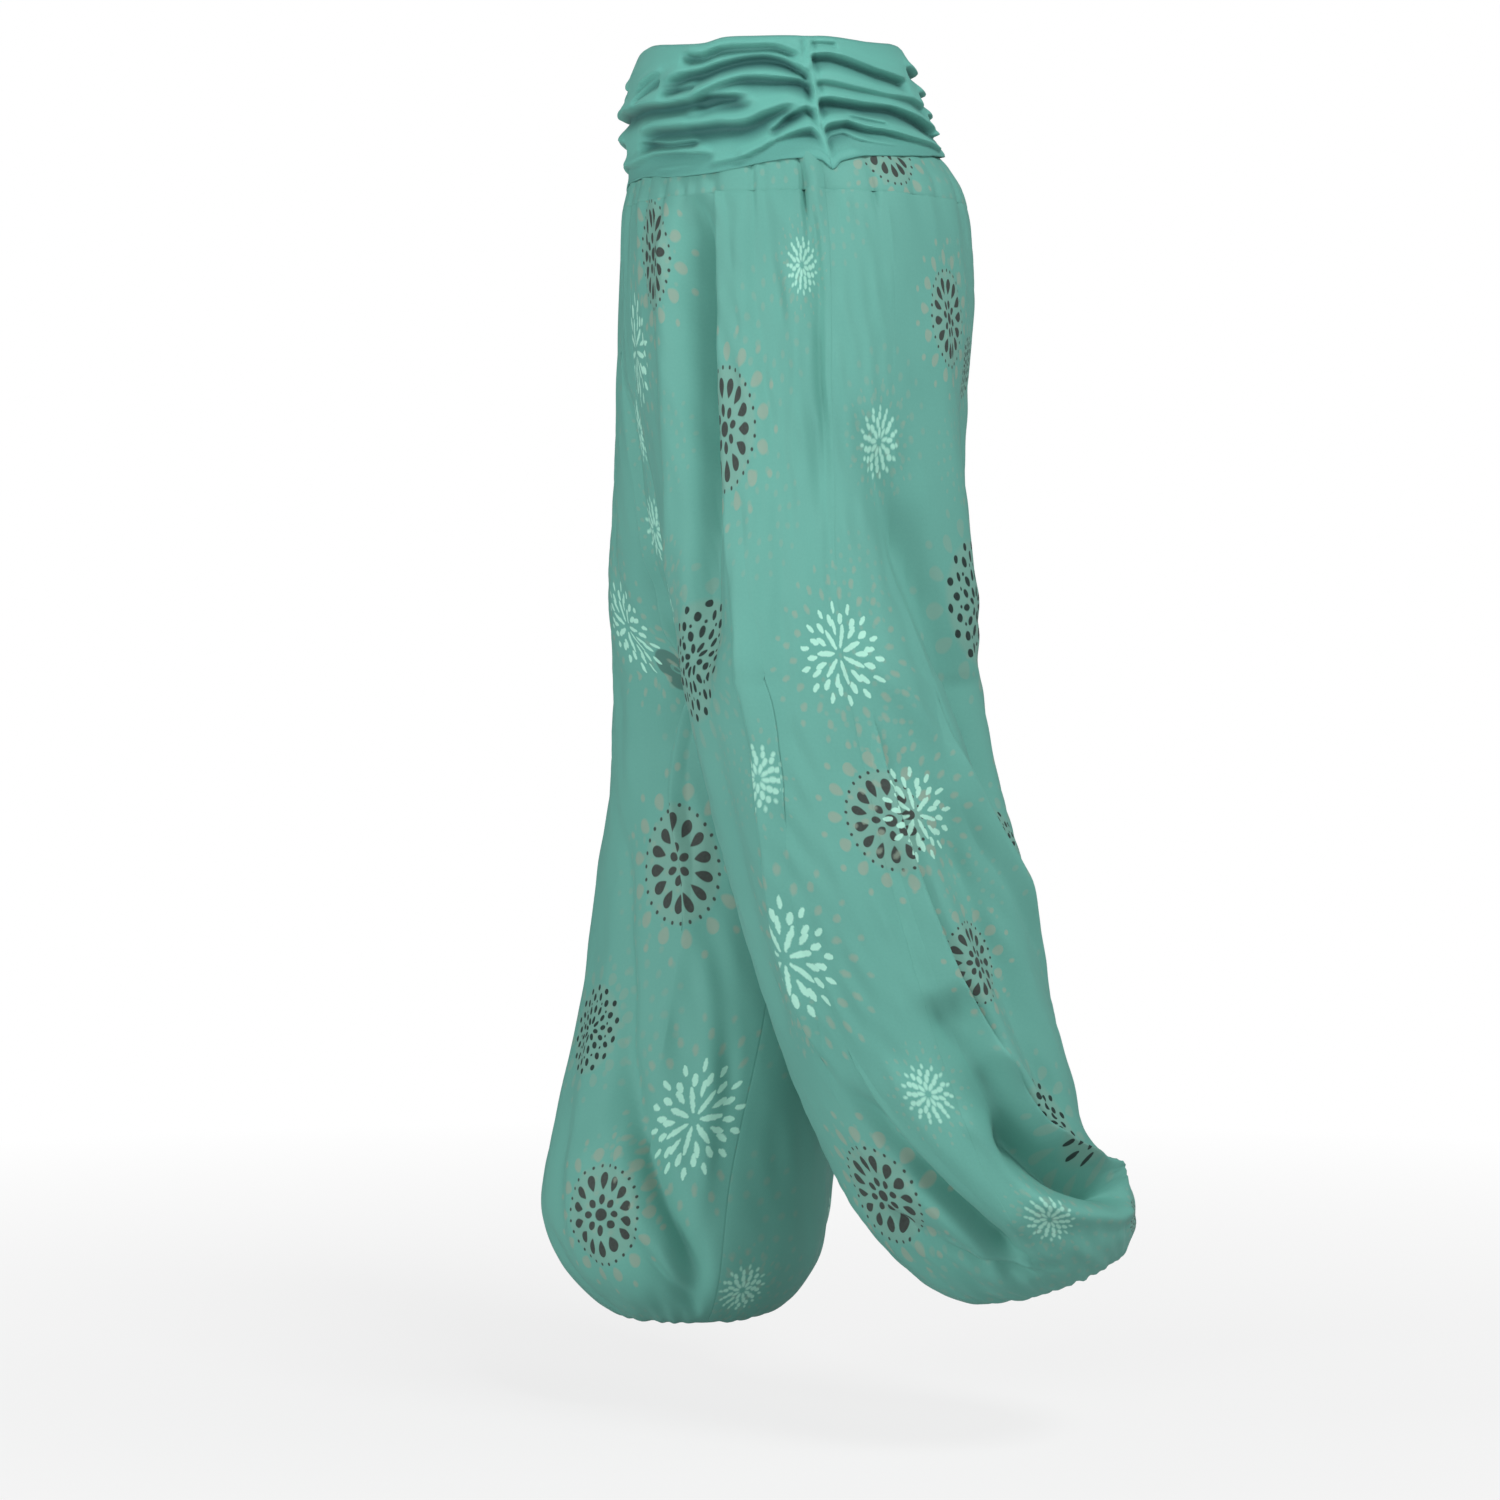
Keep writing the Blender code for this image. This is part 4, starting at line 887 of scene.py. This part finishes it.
def place_motifs(motifs, turn, flat, shown):
    """Each flower's centre on the flat cloth, found at the point of the worn cloth where it
    shows, as rows of (u, v, radius, kind, spin)."""
    rows = []
    for motif in motifs:
        far = np.abs(turn - motif.turn) * HALF_GIRTH + np.abs(flat[..., 1] - motif.down)
        at = np.unravel_index(np.argmin(np.where(shown, far, NO_MOTIF)), far.shape)
        rows.append((*flat[at], motif.radius, motif.kind, motif.spin))
    return np.array(rows)


def nearest_motif(rows, corners):
    """For each face, given its corners' places on the flat cloth, the nearest flower: the
    corners' places from its centre in radii, and its kind."""
    if not len(rows):
        return np.full(corners.shape, NO_MOTIF), np.zeros(len(corners))
    middle = corners.mean(axis=1)
    far = np.linalg.norm(middle[:, None, :] - rows[None, :, :2], axis=-1) / rows[None, :, 2]
    best = rows[np.argmin(far, axis=1)]
    local = (corners - best[:, None, :2]) / best[:, None, 2:3]
    angle = 2.0 * np.pi * best[:, 4][:, None]
    x = local[..., 0] * np.cos(angle) - local[..., 1] * np.sin(angle)
    y = local[..., 0] * np.sin(angle) + local[..., 1] * np.cos(angle)
    return np.stack([x, y], axis=-1), best[:, 3]


# ---- materials ----
TEAL = (0.124, 0.358, 0.300)
TEAL_DEEP = (0.098, 0.308, 0.262)
TEAL_LIGHT = (0.146, 0.408, 0.342)
PALE_INK = (0.390, 0.730, 0.605)
DROP_INK = (0.036, 0.038, 0.036)
DOT_INK = (0.010, 0.018, 0.018)
TAUPE_INK = (0.270, 0.345, 0.275)
DISC_INK = (0.060, 0.150, 0.128)
JERSEY_TEAL = (0.128, 0.412, 0.350)
# painted shade: the jersey's colour deep in the band's troughs
JERSEY_CREASE_SHADE = (0.034, 0.130, 0.121)
SHEEN_TINT = (0.80, 1.0, 0.95, 1.0)
SHEEN_ROUGHNESS = 0.45
SPECULAR = 0.22
REVERSE_STRENGTH = 0.45  # how much of the print shows on the cloth's wrong side
BLUR = 0.022  # softness of the ink's edge, in radii
SOFT_BLUR = 0.06  # and of the faint and the dense flowers
GHOST_BLUR = 0.05  # and of the rings round the flowers
WOBBLE = 0.06  # how unevenly the pale ink was printed, in radii
PITCH = 0.0009  # of the weave's threads
LOOP_WIDE, LOOP_TALL = 0.0011, 0.0009  # the knit's loops
BUMP = 0.00012  # height of the weave and the knit

# One ring of petals: how many, how far round it is turned in petals, from which radius to
# which, half a petal's width, and how sharp its inner and outer ends are.
PetalRing = namedtuple("PetalRing", "count phase inner outer width tip end")
DAHLIA = rows_of(
    PetalRing,
    (7, 0, 0.11, 0.6, 0.05, 0.5, 0.45), (7, 0.5, 0.37, 0.68, 0.056, 0.75, 0.5),
    (14, 0.25, 0.57, 0.83, 0.058, 0.7, 0.55), (14, 0.75, 0.8, 1.04, 0.05, 0.6, 0.6),
)
DENSE_DAHLIA = rows_of(
    PetalRing,
    (9, 0, 0.1, 0.46, 0.072, 0.7, 0.55), (11, 0.5, 0.36, 0.7, 0.082, 0.65, 0.5),
    (14, 0, 0.6, 0.88, 0.08, 0.6, 0.55), (15, 0.5, 0.82, 1.06, 0.06, 0.6, 0.6),
)
DAHLIA_GHOST = rows_of(
    PetalRing,
    (14, 0.25, 1.08, 1.34, 0.06, 0.7, 0.6), (14, 0.75, 1.34, 1.58, 0.06, 0.7, 0.6),
    (18, 0, 1.66, 1.84, 0.046, 0.7, 0.6),
)
DROP_MEDALLION = rows_of(
    PetalRing,
    (8, 0.2, 0.2, 0.42, 0.074, 0.8, 0.6), (14, 0.5, 0.5, 0.88, 0.1, 1.15, 0.55),
    (28, 0, 0.985, 1.065, 0.034, 0.6, 0.6),
)
DROP_GHOST = rows_of(
    PetalRing,
    (14, 0, 1.1, 1.46, 0.125, 1.0, 0.6), (14, 0.5, 1.58, 1.76, 0.06, 0.7, 0.6),
)
DOT_ROSETTE = rows_of(
    PetalRing,
    (8, 0, 0.12, 0.32, 0.052, 0.6, 0.6), (13, 0.5, 0.38, 0.58, 0.064, 0.65, 0.6),
    (14, 0, 0.62, 0.69, 0.032, 0.6, 0.6), (14, 0.5, 0.68, 0.87, 0.068, 0.6, 0.6),
    (14, 0, 0.9, 1.04, 0.074, 0.6, 0.6),
)
FAINT_RINGS = rows_of(
    PetalRing,
    (10, 0, 0.46, 0.66, 0.066, 0.9, 0.6), (14, 0.5, 0.8, 1.02, 0.066, 0.9, 0.6),
    (18, 0, 1.2, 1.38, 0.056, 0.8, 0.6),
)
MEDALLION_EYE = 0.14


class Wire:
    """What leaves a socket. Its sums, products and powers are new math nodes."""

    def __init__(self, nodes, socket):
        self.nodes, self.socket = nodes, socket

    def __add__(self, other):
        return self.nodes.math("ADD", self, other)

    def __sub__(self, other):
        return self.nodes.math("SUBTRACT", self, other)

    def __rsub__(self, other):
        return self.nodes.math("SUBTRACT", other, self)

    def __mul__(self, other):
        return self.nodes.math("MULTIPLY", self, other)

    def __truediv__(self, other):
        return self.nodes.math("DIVIDE", self, other)

    def __pow__(self, other):
        return self.nodes.math("POWER", self, other)

    def scaled(self, factor, plus):
        return self.nodes.math("MULTIPLY_ADD", self, factor, plus)

    def clamped(self):
        """Keeps what the node gives between 0 and 1."""
        self.socket.node.use_clamp = True
        return self


class Nodes:
    """Short calls to add nodes to a tree and join them up."""

    def __init__(self, tree):
        self.tree = tree

    def add(self, kind, **settings):
        node = self.tree.nodes.new(kind)
        for name, value in settings.items():
            setattr(node, name, value)
        return node

    def wire(self, socket):
        return Wire(self, socket)

    def feed(self, socket, value):
        if isinstance(value, Wire):
            self.tree.links.new(value.socket, socket)
        else:
            socket.default_value = value

    def math(self, operation, *values, kind="ShaderNodeMath", output=0):
        node = self.add(kind, operation=operation)
        for socket, value in zip(node.inputs, values):
            self.feed(socket, value)
        return self.wire(node.outputs[output])

    def mix(self, share, first, second):
        node = self.add("ShaderNodeMix", data_type="RGBA")
        self.feed(node.inputs["Factor"], share)
        for name, value in (("A", first), ("B", second)):
            socket = [s for s in node.inputs if s.name == name and s.type == "RGBA"][0]
            self.feed(socket, (*value, 1.0) if isinstance(value, tuple) else value)
        return self.wire([s for s in node.outputs if s.type == "RGBA"][0])

    def noise(self, place, scale, detail=2.0, output="Fac"):
        node = self.add("ShaderNodeTexNoise")
        self.feed(node.inputs["Vector"], place)
        node.inputs["Scale"].default_value = scale
        node.inputs["Detail"].default_value = detail
        return self.wire(node.outputs[output])

    def uv(self, name):
        return self.wire(self.add("ShaderNodeUVMap", uv_map=name).outputs["UV"])

    def object_place(self):
        return self.wire(self.add("ShaderNodeTexCoord").outputs["Object"])

    def split(self, vector):
        node = self.add("ShaderNodeSeparateXYZ")
        self.feed(node.inputs[0], vector)
        return self.wire(node.outputs[0]), self.wire(node.outputs[1])


def petal_ring_group():
    """The ink of one ring of petals at a point, given by its radius and its angle in turns."""
    group = bpy.data.node_groups.new("petal_ring", "ShaderNodeTree")
    names = ("Radius", "Angle", *map(str.title, PetalRing._fields), "Blur")
    for name in names:
        group.interface.new_socket(name, in_out="INPUT", socket_type="NodeSocketFloat")
    group.interface.new_socket("Ink", in_out="OUTPUT", socket_type="NodeSocketFloat")
    nodes = Nodes(group)
    given = nodes.add("NodeGroupInput").outputs
    radius, angle, *fields, blur = (nodes.wire(given[name]) for name in names)
    ring = PetalRing(*fields)
    cell = angle.scaled(ring.count, ring.phase)
    number = nodes.math("FLOORED_MODULO", nodes.math("FLOOR", cell), ring.count)
    stray = nodes.add("ShaderNodeTexWhiteNoise", noise_dimensions="1D")
    nodes.feed(stray.inputs["W"], ring.outer.scaled(37.0, number))
    stray = nodes.wire(stray.outputs["Value"]) - 0.5
    off_middle = nodes.math("ABSOLUTE", nodes.math("FRACT", cell) - 0.5)
    across = off_middle / ring.count * (radius * (2.0 * np.pi))
    reach = (ring.outer - ring.inner) * stray.scaled(0.16, 1.0)
    along = ((radius - ring.inner) / reach).clamped()
    wide = along**ring.tip * (1.0 - along) ** ring.end * ring.width * stray.scaled(-0.22, 1.0)
    # where the petal has no width there is no ink, however close the middle line is
    real = (wide / blur).clamped()
    ink = ((wide - across) / blur + 0.5).clamped() * real
    nodes.feed(nodes.add("NodeGroupOutput").inputs["Ink"], ink)
    return group


def rings_ink(nodes, group, rings, radius, angle, blur=BLUR):
    """The ink of several rings of petals together."""
    total = None
    for ring in rings:
        widest = ring.tip / (ring.tip + ring.end)
        fullness = widest**ring.tip * (1.0 - widest) ** ring.end
        ring = ring._replace(width=ring.width / fullness)
        node = nodes.add("ShaderNodeGroup", node_tree=group)
        for socket, value in zip(node.inputs, (radius, angle, *ring, blur)):
            nodes.feed(socket, value)
        ink = nodes.wire(node.outputs["Ink"])
        total = ink if total is None else nodes.math("MAXIMUM", total, ink)
    return total


def polar(nodes, place):
    """Radius and angle in turns of a place given from a flower's middle."""
    x, y = nodes.split(place)
    radius = nodes.math("SQRT", x * x + y * y)
    return radius, nodes.math("ARCTAN2", y, x).scaled(0.5 / np.pi, 0.5)


def disc(radius, size, soft):
    return ((size - radius) / soft).clamped()


def choose(kind, first, second):
    """First where kind is 0 and second where it is 1."""
    return first * (1.0 - kind) + second * kind


def cloth_shader(name, color, roughness, sheen, bump_strength, build):
    """A fabric: Principled with the colour, roughness and bump that build returns."""
    material = bpy.data.materials.new(name)
    material.use_nodes = True
    material.diffuse_color = (*color, 1.0)
    nodes = Nodes(material.node_tree)
    paint, rough, height = build(nodes)
    bump = nodes.add("ShaderNodeBump")
    bump.inputs["Strength"].default_value = bump_strength
    bump.inputs["Distance"].default_value = BUMP
    nodes.feed(bump.inputs["Height"], height)
    shader = material.node_tree.nodes["Principled BSDF"].inputs
    shader["Roughness"].default_value = roughness
    shader["Sheen Weight"].default_value = sheen
    shader["Sheen Roughness"].default_value = SHEEN_ROUGHNESS
    shader["Sheen Tint"].default_value = SHEEN_TINT
    shader["Specular IOR Level"].default_value = SPECULAR
    nodes.feed(shader["Base Color"], paint)
    nodes.feed(shader["Roughness"], rough)
    nodes.feed(shader["Normal"], nodes.wire(bump.outputs["Normal"]))
    return material


def weave(nodes, place):
    """Plain weave: threads that pass over and under each other, as a height from 0 to 1."""
    warp, weft = (nodes.math("SINE", way * (np.pi / PITCH)) for way in nodes.split(place))
    return (warp * weft).scaled(0.25, nodes.noise(place, 900.0, detail=3.0))


def print_material(name, group, strength):
    """Printed viscose. Strength is 1 on the right side and less on the wrong side."""

    def build(nodes):
        place = nodes.uv("cloth")
        wash = nodes.noise(nodes.object_place(), 9.0, detail=3.0)
        fleck = nodes.noise(place, 420.0)
        paint = nodes.mix(fleck.scaled(0.35, wash * 0.65), TEAL_DEEP, TEAL_LIGHT)
        pale_kind, dark_kind = nodes.split(nodes.uv("kinds"))
        worn = fleck.scaled(-0.16, 1.06).clamped()

        def ink(paint, share, most, color):
            return nodes.mix(share * (most * strength), paint, color)

        # faint rings under everything
        radius, angle = polar(nodes, nodes.uv("faint"))
        faint = rings_ink(nodes, group, FAINT_RINGS, radius, angle, blur=SOFT_BLUR)
        paint = ink(paint, faint, 0.30, TAUPE_INK)
        # a translucent grey disc with a light ring in it
        radius, _ = polar(nodes, nodes.uv("discs"))
        paint = ink(paint, disc(radius, 1.0, 0.08), 0.80, DISC_INK)
        paint = ink(paint, nodes.math("COMPARE", radius, 0.19, 0.07), 0.5, TEAL_LIGHT)
        # dark ink
        radius, angle = polar(nodes, nodes.uv("dark"))
        ghost = rings_ink(nodes, group, DROP_GHOST, radius, angle, blur=GHOST_BLUR)
        paint = ink(paint, ghost * dark_kind.scaled(-0.55, 1.0), 0.72, TAUPE_INK)
        paint = ink(paint, disc(radius, 1.10, 0.12), 0.26, TAUPE_INK)
        drops = rings_ink(nodes, group, DROP_MEDALLION, radius, angle)
        drops = nodes.math("MAXIMUM", drops, disc(radius, MEDALLION_EYE, BLUR))
        dots = rings_ink(nodes, group, DOT_ROSETTE, radius, angle)
        dark = choose(dark_kind, drops, dots) * worn
        paint = ink(paint, dark, 0.97, nodes.mix(dark_kind, DROP_INK, DOT_INK))
        # pale ink
        stray = nodes.noise(place, 260.0, output="Color")
        wobble = (stray, (WOBBLE, WOBBLE, 0.0), nodes.uv("pale"))
        wobble = nodes.math("MULTIPLY_ADD", *wobble, kind="ShaderNodeVectorMath")
        radius, angle = polar(nodes, wobble)
        ghost = rings_ink(nodes, group, DAHLIA_GHOST, radius, angle, blur=GHOST_BLUR)
        paint = ink(paint, ghost * pale_kind.scaled(-0.4, 1.0), 0.62, TAUPE_INK)
        open_ink = rings_ink(nodes, group, DAHLIA, radius, angle)
        dense_ink = rings_ink(nodes, group, DENSE_DAHLIA, radius, angle, blur=SOFT_BLUR)
        pale = choose(pale_kind, open_ink, dense_ink * 0.85) * worn
        paint = ink(paint, pale, 0.95, PALE_INK)
        return paint, fleck.scaled(0.18, 0.56), weave(nodes, place)

    return cloth_shader(name, TEAL, 0.6, 0.05, 0.35, build)


def jersey_material(name):
    """Fine knit of small V-shaped loops, with painted shade: darker in the band's troughs, palest
    on its crests.
    """

    def build(nodes):
        place = nodes.uv("cloth")
        wash = nodes.noise(nodes.object_place(), 14.0)
        fleck = nodes.noise(place, 700.0)
        # the stretch layer carries the painted shade, 0 darkest in the troughs, 1 on the crests
        crest_light, _ = nodes.split(nodes.uv("stretch"))
        shade_and_fleck = (crest_light + fleck.scaled(0.20, wash.scaled(0.20, -0.20))).clamped()
        u, v = nodes.split(place)
        column = nodes.math("PINGPONG", u / LOOP_WIDE, 0.5)
        loops = nodes.math("PINGPONG", column.scaled(1.6, v / LOOP_TALL), 0.5)
        height = loops.scaled(column, fleck * 0.5)
        return nodes.mix(shade_and_fleck, JERSEY_CREASE_SHADE, JERSEY_TEAL), fleck.scaled(0.15, 0.55), height

    return cloth_shader(name, JERSEY_TEAL, 0.65, 0.08, 0.30, build)


# ---- pieces ----
def quads(points):
    rows, columns = points.shape[:2]
    index = np.arange(rows * columns).reshape(rows, columns)
    faces = np.stack([index[:-1, :-1], index[1:, :-1], index[1:, 1:], index[:-1, 1:]], axis=-1)
    return faces.reshape(-1, 4)


def per_corner(points, flat):
    """The places of each face's four corners on the flat cloth."""
    return flat.reshape(-1, 2)[quads(points)]


def faces_inwards(points):
    """Whether the faces over rows of points, each round part of a tube, look into the tube."""
    across = points[1:, 1:] - points[:-1, :-1]
    along = points[1:, :-1] - points[:-1, 1:]
    middle = (points[1:, 1:] + points[:-1, :-1]) / 2.0
    from_axis = middle - middle.mean(axis=1, keepdims=True)
    return np.sum(np.cross(along, across) * from_axis) < 0.0


def make_piece(name, points, uv_layers, thickness, *materials):
    """Cloth over rows of points, thickened inwards. Each UV layer gives the four corners of
    each face. The first material is for the right side, and a second for the wrong side."""
    faces = quads(points)
    if faces_inwards(points):
        faces = faces[:, ::-1]
        uv_layers = {key: value[:, ::-1] for key, value in uv_layers.items()}
    mesh = bpy.data.meshes.new(name)
    mesh.from_pydata(points.reshape(-1, 3).tolist(), [], faces.tolist())
    for key, value in uv_layers.items():
        layer = mesh.uv_layers.new(name=key)
        layer.data.foreach_set("uv", value.astype(np.float32).ravel())
    mesh.shade_smooth()
    for material in materials:
        mesh.materials.append(material)
    piece = bpy.data.objects.new(name, mesh)
    bpy.context.scene.collection.objects.link(piece)
    solid = piece.modifiers.new("thickness", "SOLIDIFY")
    solid.thickness = thickness
    solid.offset = -1.0
    solid.use_even_offset = False
    solid.material_offset = len(materials) - 1
    # the narrow rims must not tilt the normals of the cloth beside the seams
    piece.modifiers.new("normals", "WEIGHTED_NORMAL").keep_sharp = True
    return piece


def printed_piece(name, points, flat, motifs, materials):
    """A piece of the printed cloth, with the rows of flowers for each layer of the print."""
    corners = per_corner(points, flat)
    layers = {"cloth": corners}
    kinds = {}
    for layer in ("pale", "dark", "faint", "discs"):
        layers[layer], kinds[layer] = nearest_motif(motifs.get(layer, ()), corners)
    pair = np.stack([kinds["pale"], kinds["dark"]], axis=-1)
    layers["kinds"] = np.repeat(pair[:, None, :], 4, axis=1)
    return make_piece(name, points, layers, THREAD_THICK, *materials)


def fit_up(piece, nodes):
    """Puts a piece on the root body and hides the CAD nodes that it stands for."""
    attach(piece, "root")
    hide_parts(*nodes)


def leg_pieces(leg, materials):
    """The front and the back of one leg, with its flowers where the worn cloth shows them."""
    grids = {face: cloth_grid(leg, face) for face in SIGN}
    sides = []
    for face, (_, flat, across) in grids.items():
        forward = np.gradient(across, axis=1) > 0.0
        on_top = across >= np.maximum.accumulate(across, axis=1) - 1e-6
        sides.append((SIGN[face] * across / HALF_GIRTH, flat, forward & on_top))
    worn = [np.concatenate(both, axis=1) for both in zip(*sides)]
    motifs = {layer: place_motifs(rows, *worn) for layer, rows in leg_motifs(leg).items()}
    for face, (points, flat, _) in grids.items():
        piece = printed_piece(f"cloth_{leg}_{face}", points, flat, motifs, materials)
        widths = np.ptp(flat[..., 0], axis=1)
        area = round(float(widths.mean()) * LENGTH[leg], 4)
        fit_up(piece, [f"{leg}_{face}"])


def band_pieces(jersey):
    for face in SIGN:
        points, flat, crest_light = band_grid(face)
        # the stretch layer carries the band's painted shade in its troughs
        layers = {"cloth": per_corner(points, flat), "stretch": per_corner(points, crest_light)}
        piece = make_piece(f"band_{face}", points, layers, JERSEY_THICK, jersey)
        fit_up(piece, [f"waistband_{face}"])


def yoke_pieces(materials):
    for face, sign in SIGN.items():
        dark = [(motif.turn * YOKE_WIDTH / 4.0, *motif[1:]) for motif in YOKE_DARK[face]]
        faint = []
        for number in range(YOKE_FAINT):
            place = (sign * (0.05 + 0.11 * number), 0.02 + 0.03 * (number % 2))
            faint.append((*place, YOKE_FAINT_RADIUS, 0.0, 0.1 * number))
        motifs = {"dark": np.array(dark), "faint": np.array(faint)}
        piece = printed_piece(f"yoke_cloth_{face}", *yoke_grid(face), motifs, materials)
        fit_up(piece, [f"yoke_{face}"])


def cuff_pieces(materials):
    for leg in RINGS:
        piece = printed_piece(f"ankle_casing_{leg}", *cuff_grid(leg), {}, materials)
        fit_up(piece, [f"cuff_{leg}"])


# ---- stage ----
VIEW_FROM = np.radians(75.0)  # the camera stands this far round from the front, at the left
VIEW_DISTANCE = 3.5
VIEW_HEIGHT = -0.427
AIM_SIDEWAYS = -0.0171  # the frame's middle, to the right of the waist's axis
AIM_HEIGHT = -0.5450
LENS, SENSOR = 105.66, 36.0
VIEW_END = 200.0
FLOOR = -1.086  # under the soles of the shoes that the wearer stands in
FLOOR_HALF = 40.0
PAPER = (0.55, 0.55, 0.55)
WORLD_LIGHT = 0.13
GLOW = 0.80  # the share of the paper that is lit by itself, so that shadows on it stay soft
GLOW_FROM, GLOW_OVER = 1.15, 1.2  # from here out, over so many metres, it grows to the whole
LIGHTS_AIM = Vector((0.0, 0.0, -0.5))


def place_looking(name, data, place, aim):
    """Puts a camera or a lamp at a place so that it looks at the aim."""
    thing = bpy.data.objects.new(name, data)
    thing.location = place
    thing.rotation_euler = (aim - thing.location).to_track_quat("-Z", "Y").to_euler()
    bpy.context.scene.collection.objects.link(thing)
    return thing


def camera():
    toward = Vector((np.sin(VIEW_FROM), -np.cos(VIEW_FROM), 0.0))
    aside = Vector((np.cos(VIEW_FROM), np.sin(VIEW_FROM), 0.0))
    data = bpy.data.cameras.new("camera")
    data.lens = LENS
    data.sensor_width = SENSOR
    data.clip_end = VIEW_END
    eye = toward * VIEW_DISTANCE + Vector((0.0, 0.0, VIEW_HEIGHT))
    aim = aside * AIM_SIDEWAYS + Vector((0.0, 0.0, AIM_HEIGHT))
    bpy.context.scene.camera = place_looking("camera", data, eye, aim)


def soft_light(name, turn, height, distance, size, power):
    """A square soft box that looks at the pants from turn degrees round from the front."""
    data = bpy.data.lights.new(name, "AREA")
    data.size = size
    data.energy = power
    angle = np.radians(turn)
    place = (distance * np.sin(angle), -distance * np.cos(angle), height)
    place_looking(name, data, place, LIGHTS_AIM)


def paper_material():
    """Paper that partly glows to the camera, and wholly far out, so that it has no edge."""
    paper = bpy.data.materials.new("paper")
    paper.use_nodes = True
    nodes = Nodes(paper.node_tree)
    shader = paper.node_tree.nodes["Principled BSDF"]
    shader.inputs["Base Color"].default_value = (*PAPER, 1.0)
    shader.inputs["Roughness"].default_value = 0.9
    glow = nodes.add("ShaderNodeEmission")
    place = nodes.object_place()
    away = nodes.math("LENGTH", place, kind="ShaderNodeVectorMath", output="Value")
    far = ((away - GLOW_FROM) / GLOW_OVER).clamped()
    seen = nodes.wire(nodes.add("ShaderNodeLightPath").outputs["Is Camera Ray"])
    blend = nodes.add("ShaderNodeMixShader")
    nodes.feed(blend.inputs[0], far.scaled(1.0 - GLOW, GLOW) * seen)
    nodes.feed(blend.inputs[1], nodes.wire(shader.outputs[0]))
    nodes.feed(blend.inputs[2], nodes.wire(glow.outputs[0]))
    surface = paper.node_tree.nodes["Material Output"].inputs["Surface"]
    nodes.feed(surface, nodes.wire(blend.outputs[0]))
    return paper


def stage():
    """Paper that runs off into a white backdrop, and four soft boxes."""
    mesh = bpy.data.meshes.new("floor")
    ends = ((-1, -1), (1, -1), (1, 1), (-1, 1))
    corners = [(x * FLOOR_HALF, y * FLOOR_HALF, FLOOR) for x, y in ends]
    mesh.from_pydata(corners, [], [(0, 1, 2, 3)])
    mesh.materials.append(paper_material())
    floor = bpy.data.objects.new("floor", mesh)
    bpy.context.scene.collection.objects.link(floor)
    world = bpy.data.worlds.new("studio")
    world.use_nodes = True
    nodes = Nodes(world.node_tree)
    backdrop = world.node_tree.nodes["Background"]
    backdrop.inputs["Color"].default_value = (1.0, 1.0, 1.0, 1.0)
    seen = nodes.wire(nodes.add("ShaderNodeLightPath").outputs["Is Camera Ray"])
    nodes.feed(backdrop.inputs["Strength"], seen.scaled(1.0 - WORLD_LIGHT, WORLD_LIGHT))
    bpy.context.scene.world = world
    bpy.context.scene.view_settings.view_transform = "Standard"
    soft_light("key", 105.0, 5.0, 4.5, 2.0, 305.0)
    soft_light("fill", 16.0, 0.2, 4.0, 1.8, 92.0)
    soft_light("low", 76.0, -0.9, 4.5, 1.8, 62.0)
    soft_light("rim", 150.0, 1.5, 4.0, 1.8, 42.0)


def main():
    camera()
    stage()
    group = petal_ring_group()
    materials = (
        print_material("printed_viscose", group, 1.0),
        print_material("printed_viscose_reverse", group, REVERSE_STRENGTH),
    )
    band_pieces(jersey_material("stretch_jersey"))
    yoke_pieces(materials)
    for leg in RINGS:
        leg_pieces(leg, materials)
    cuff_pieces(materials)


main()
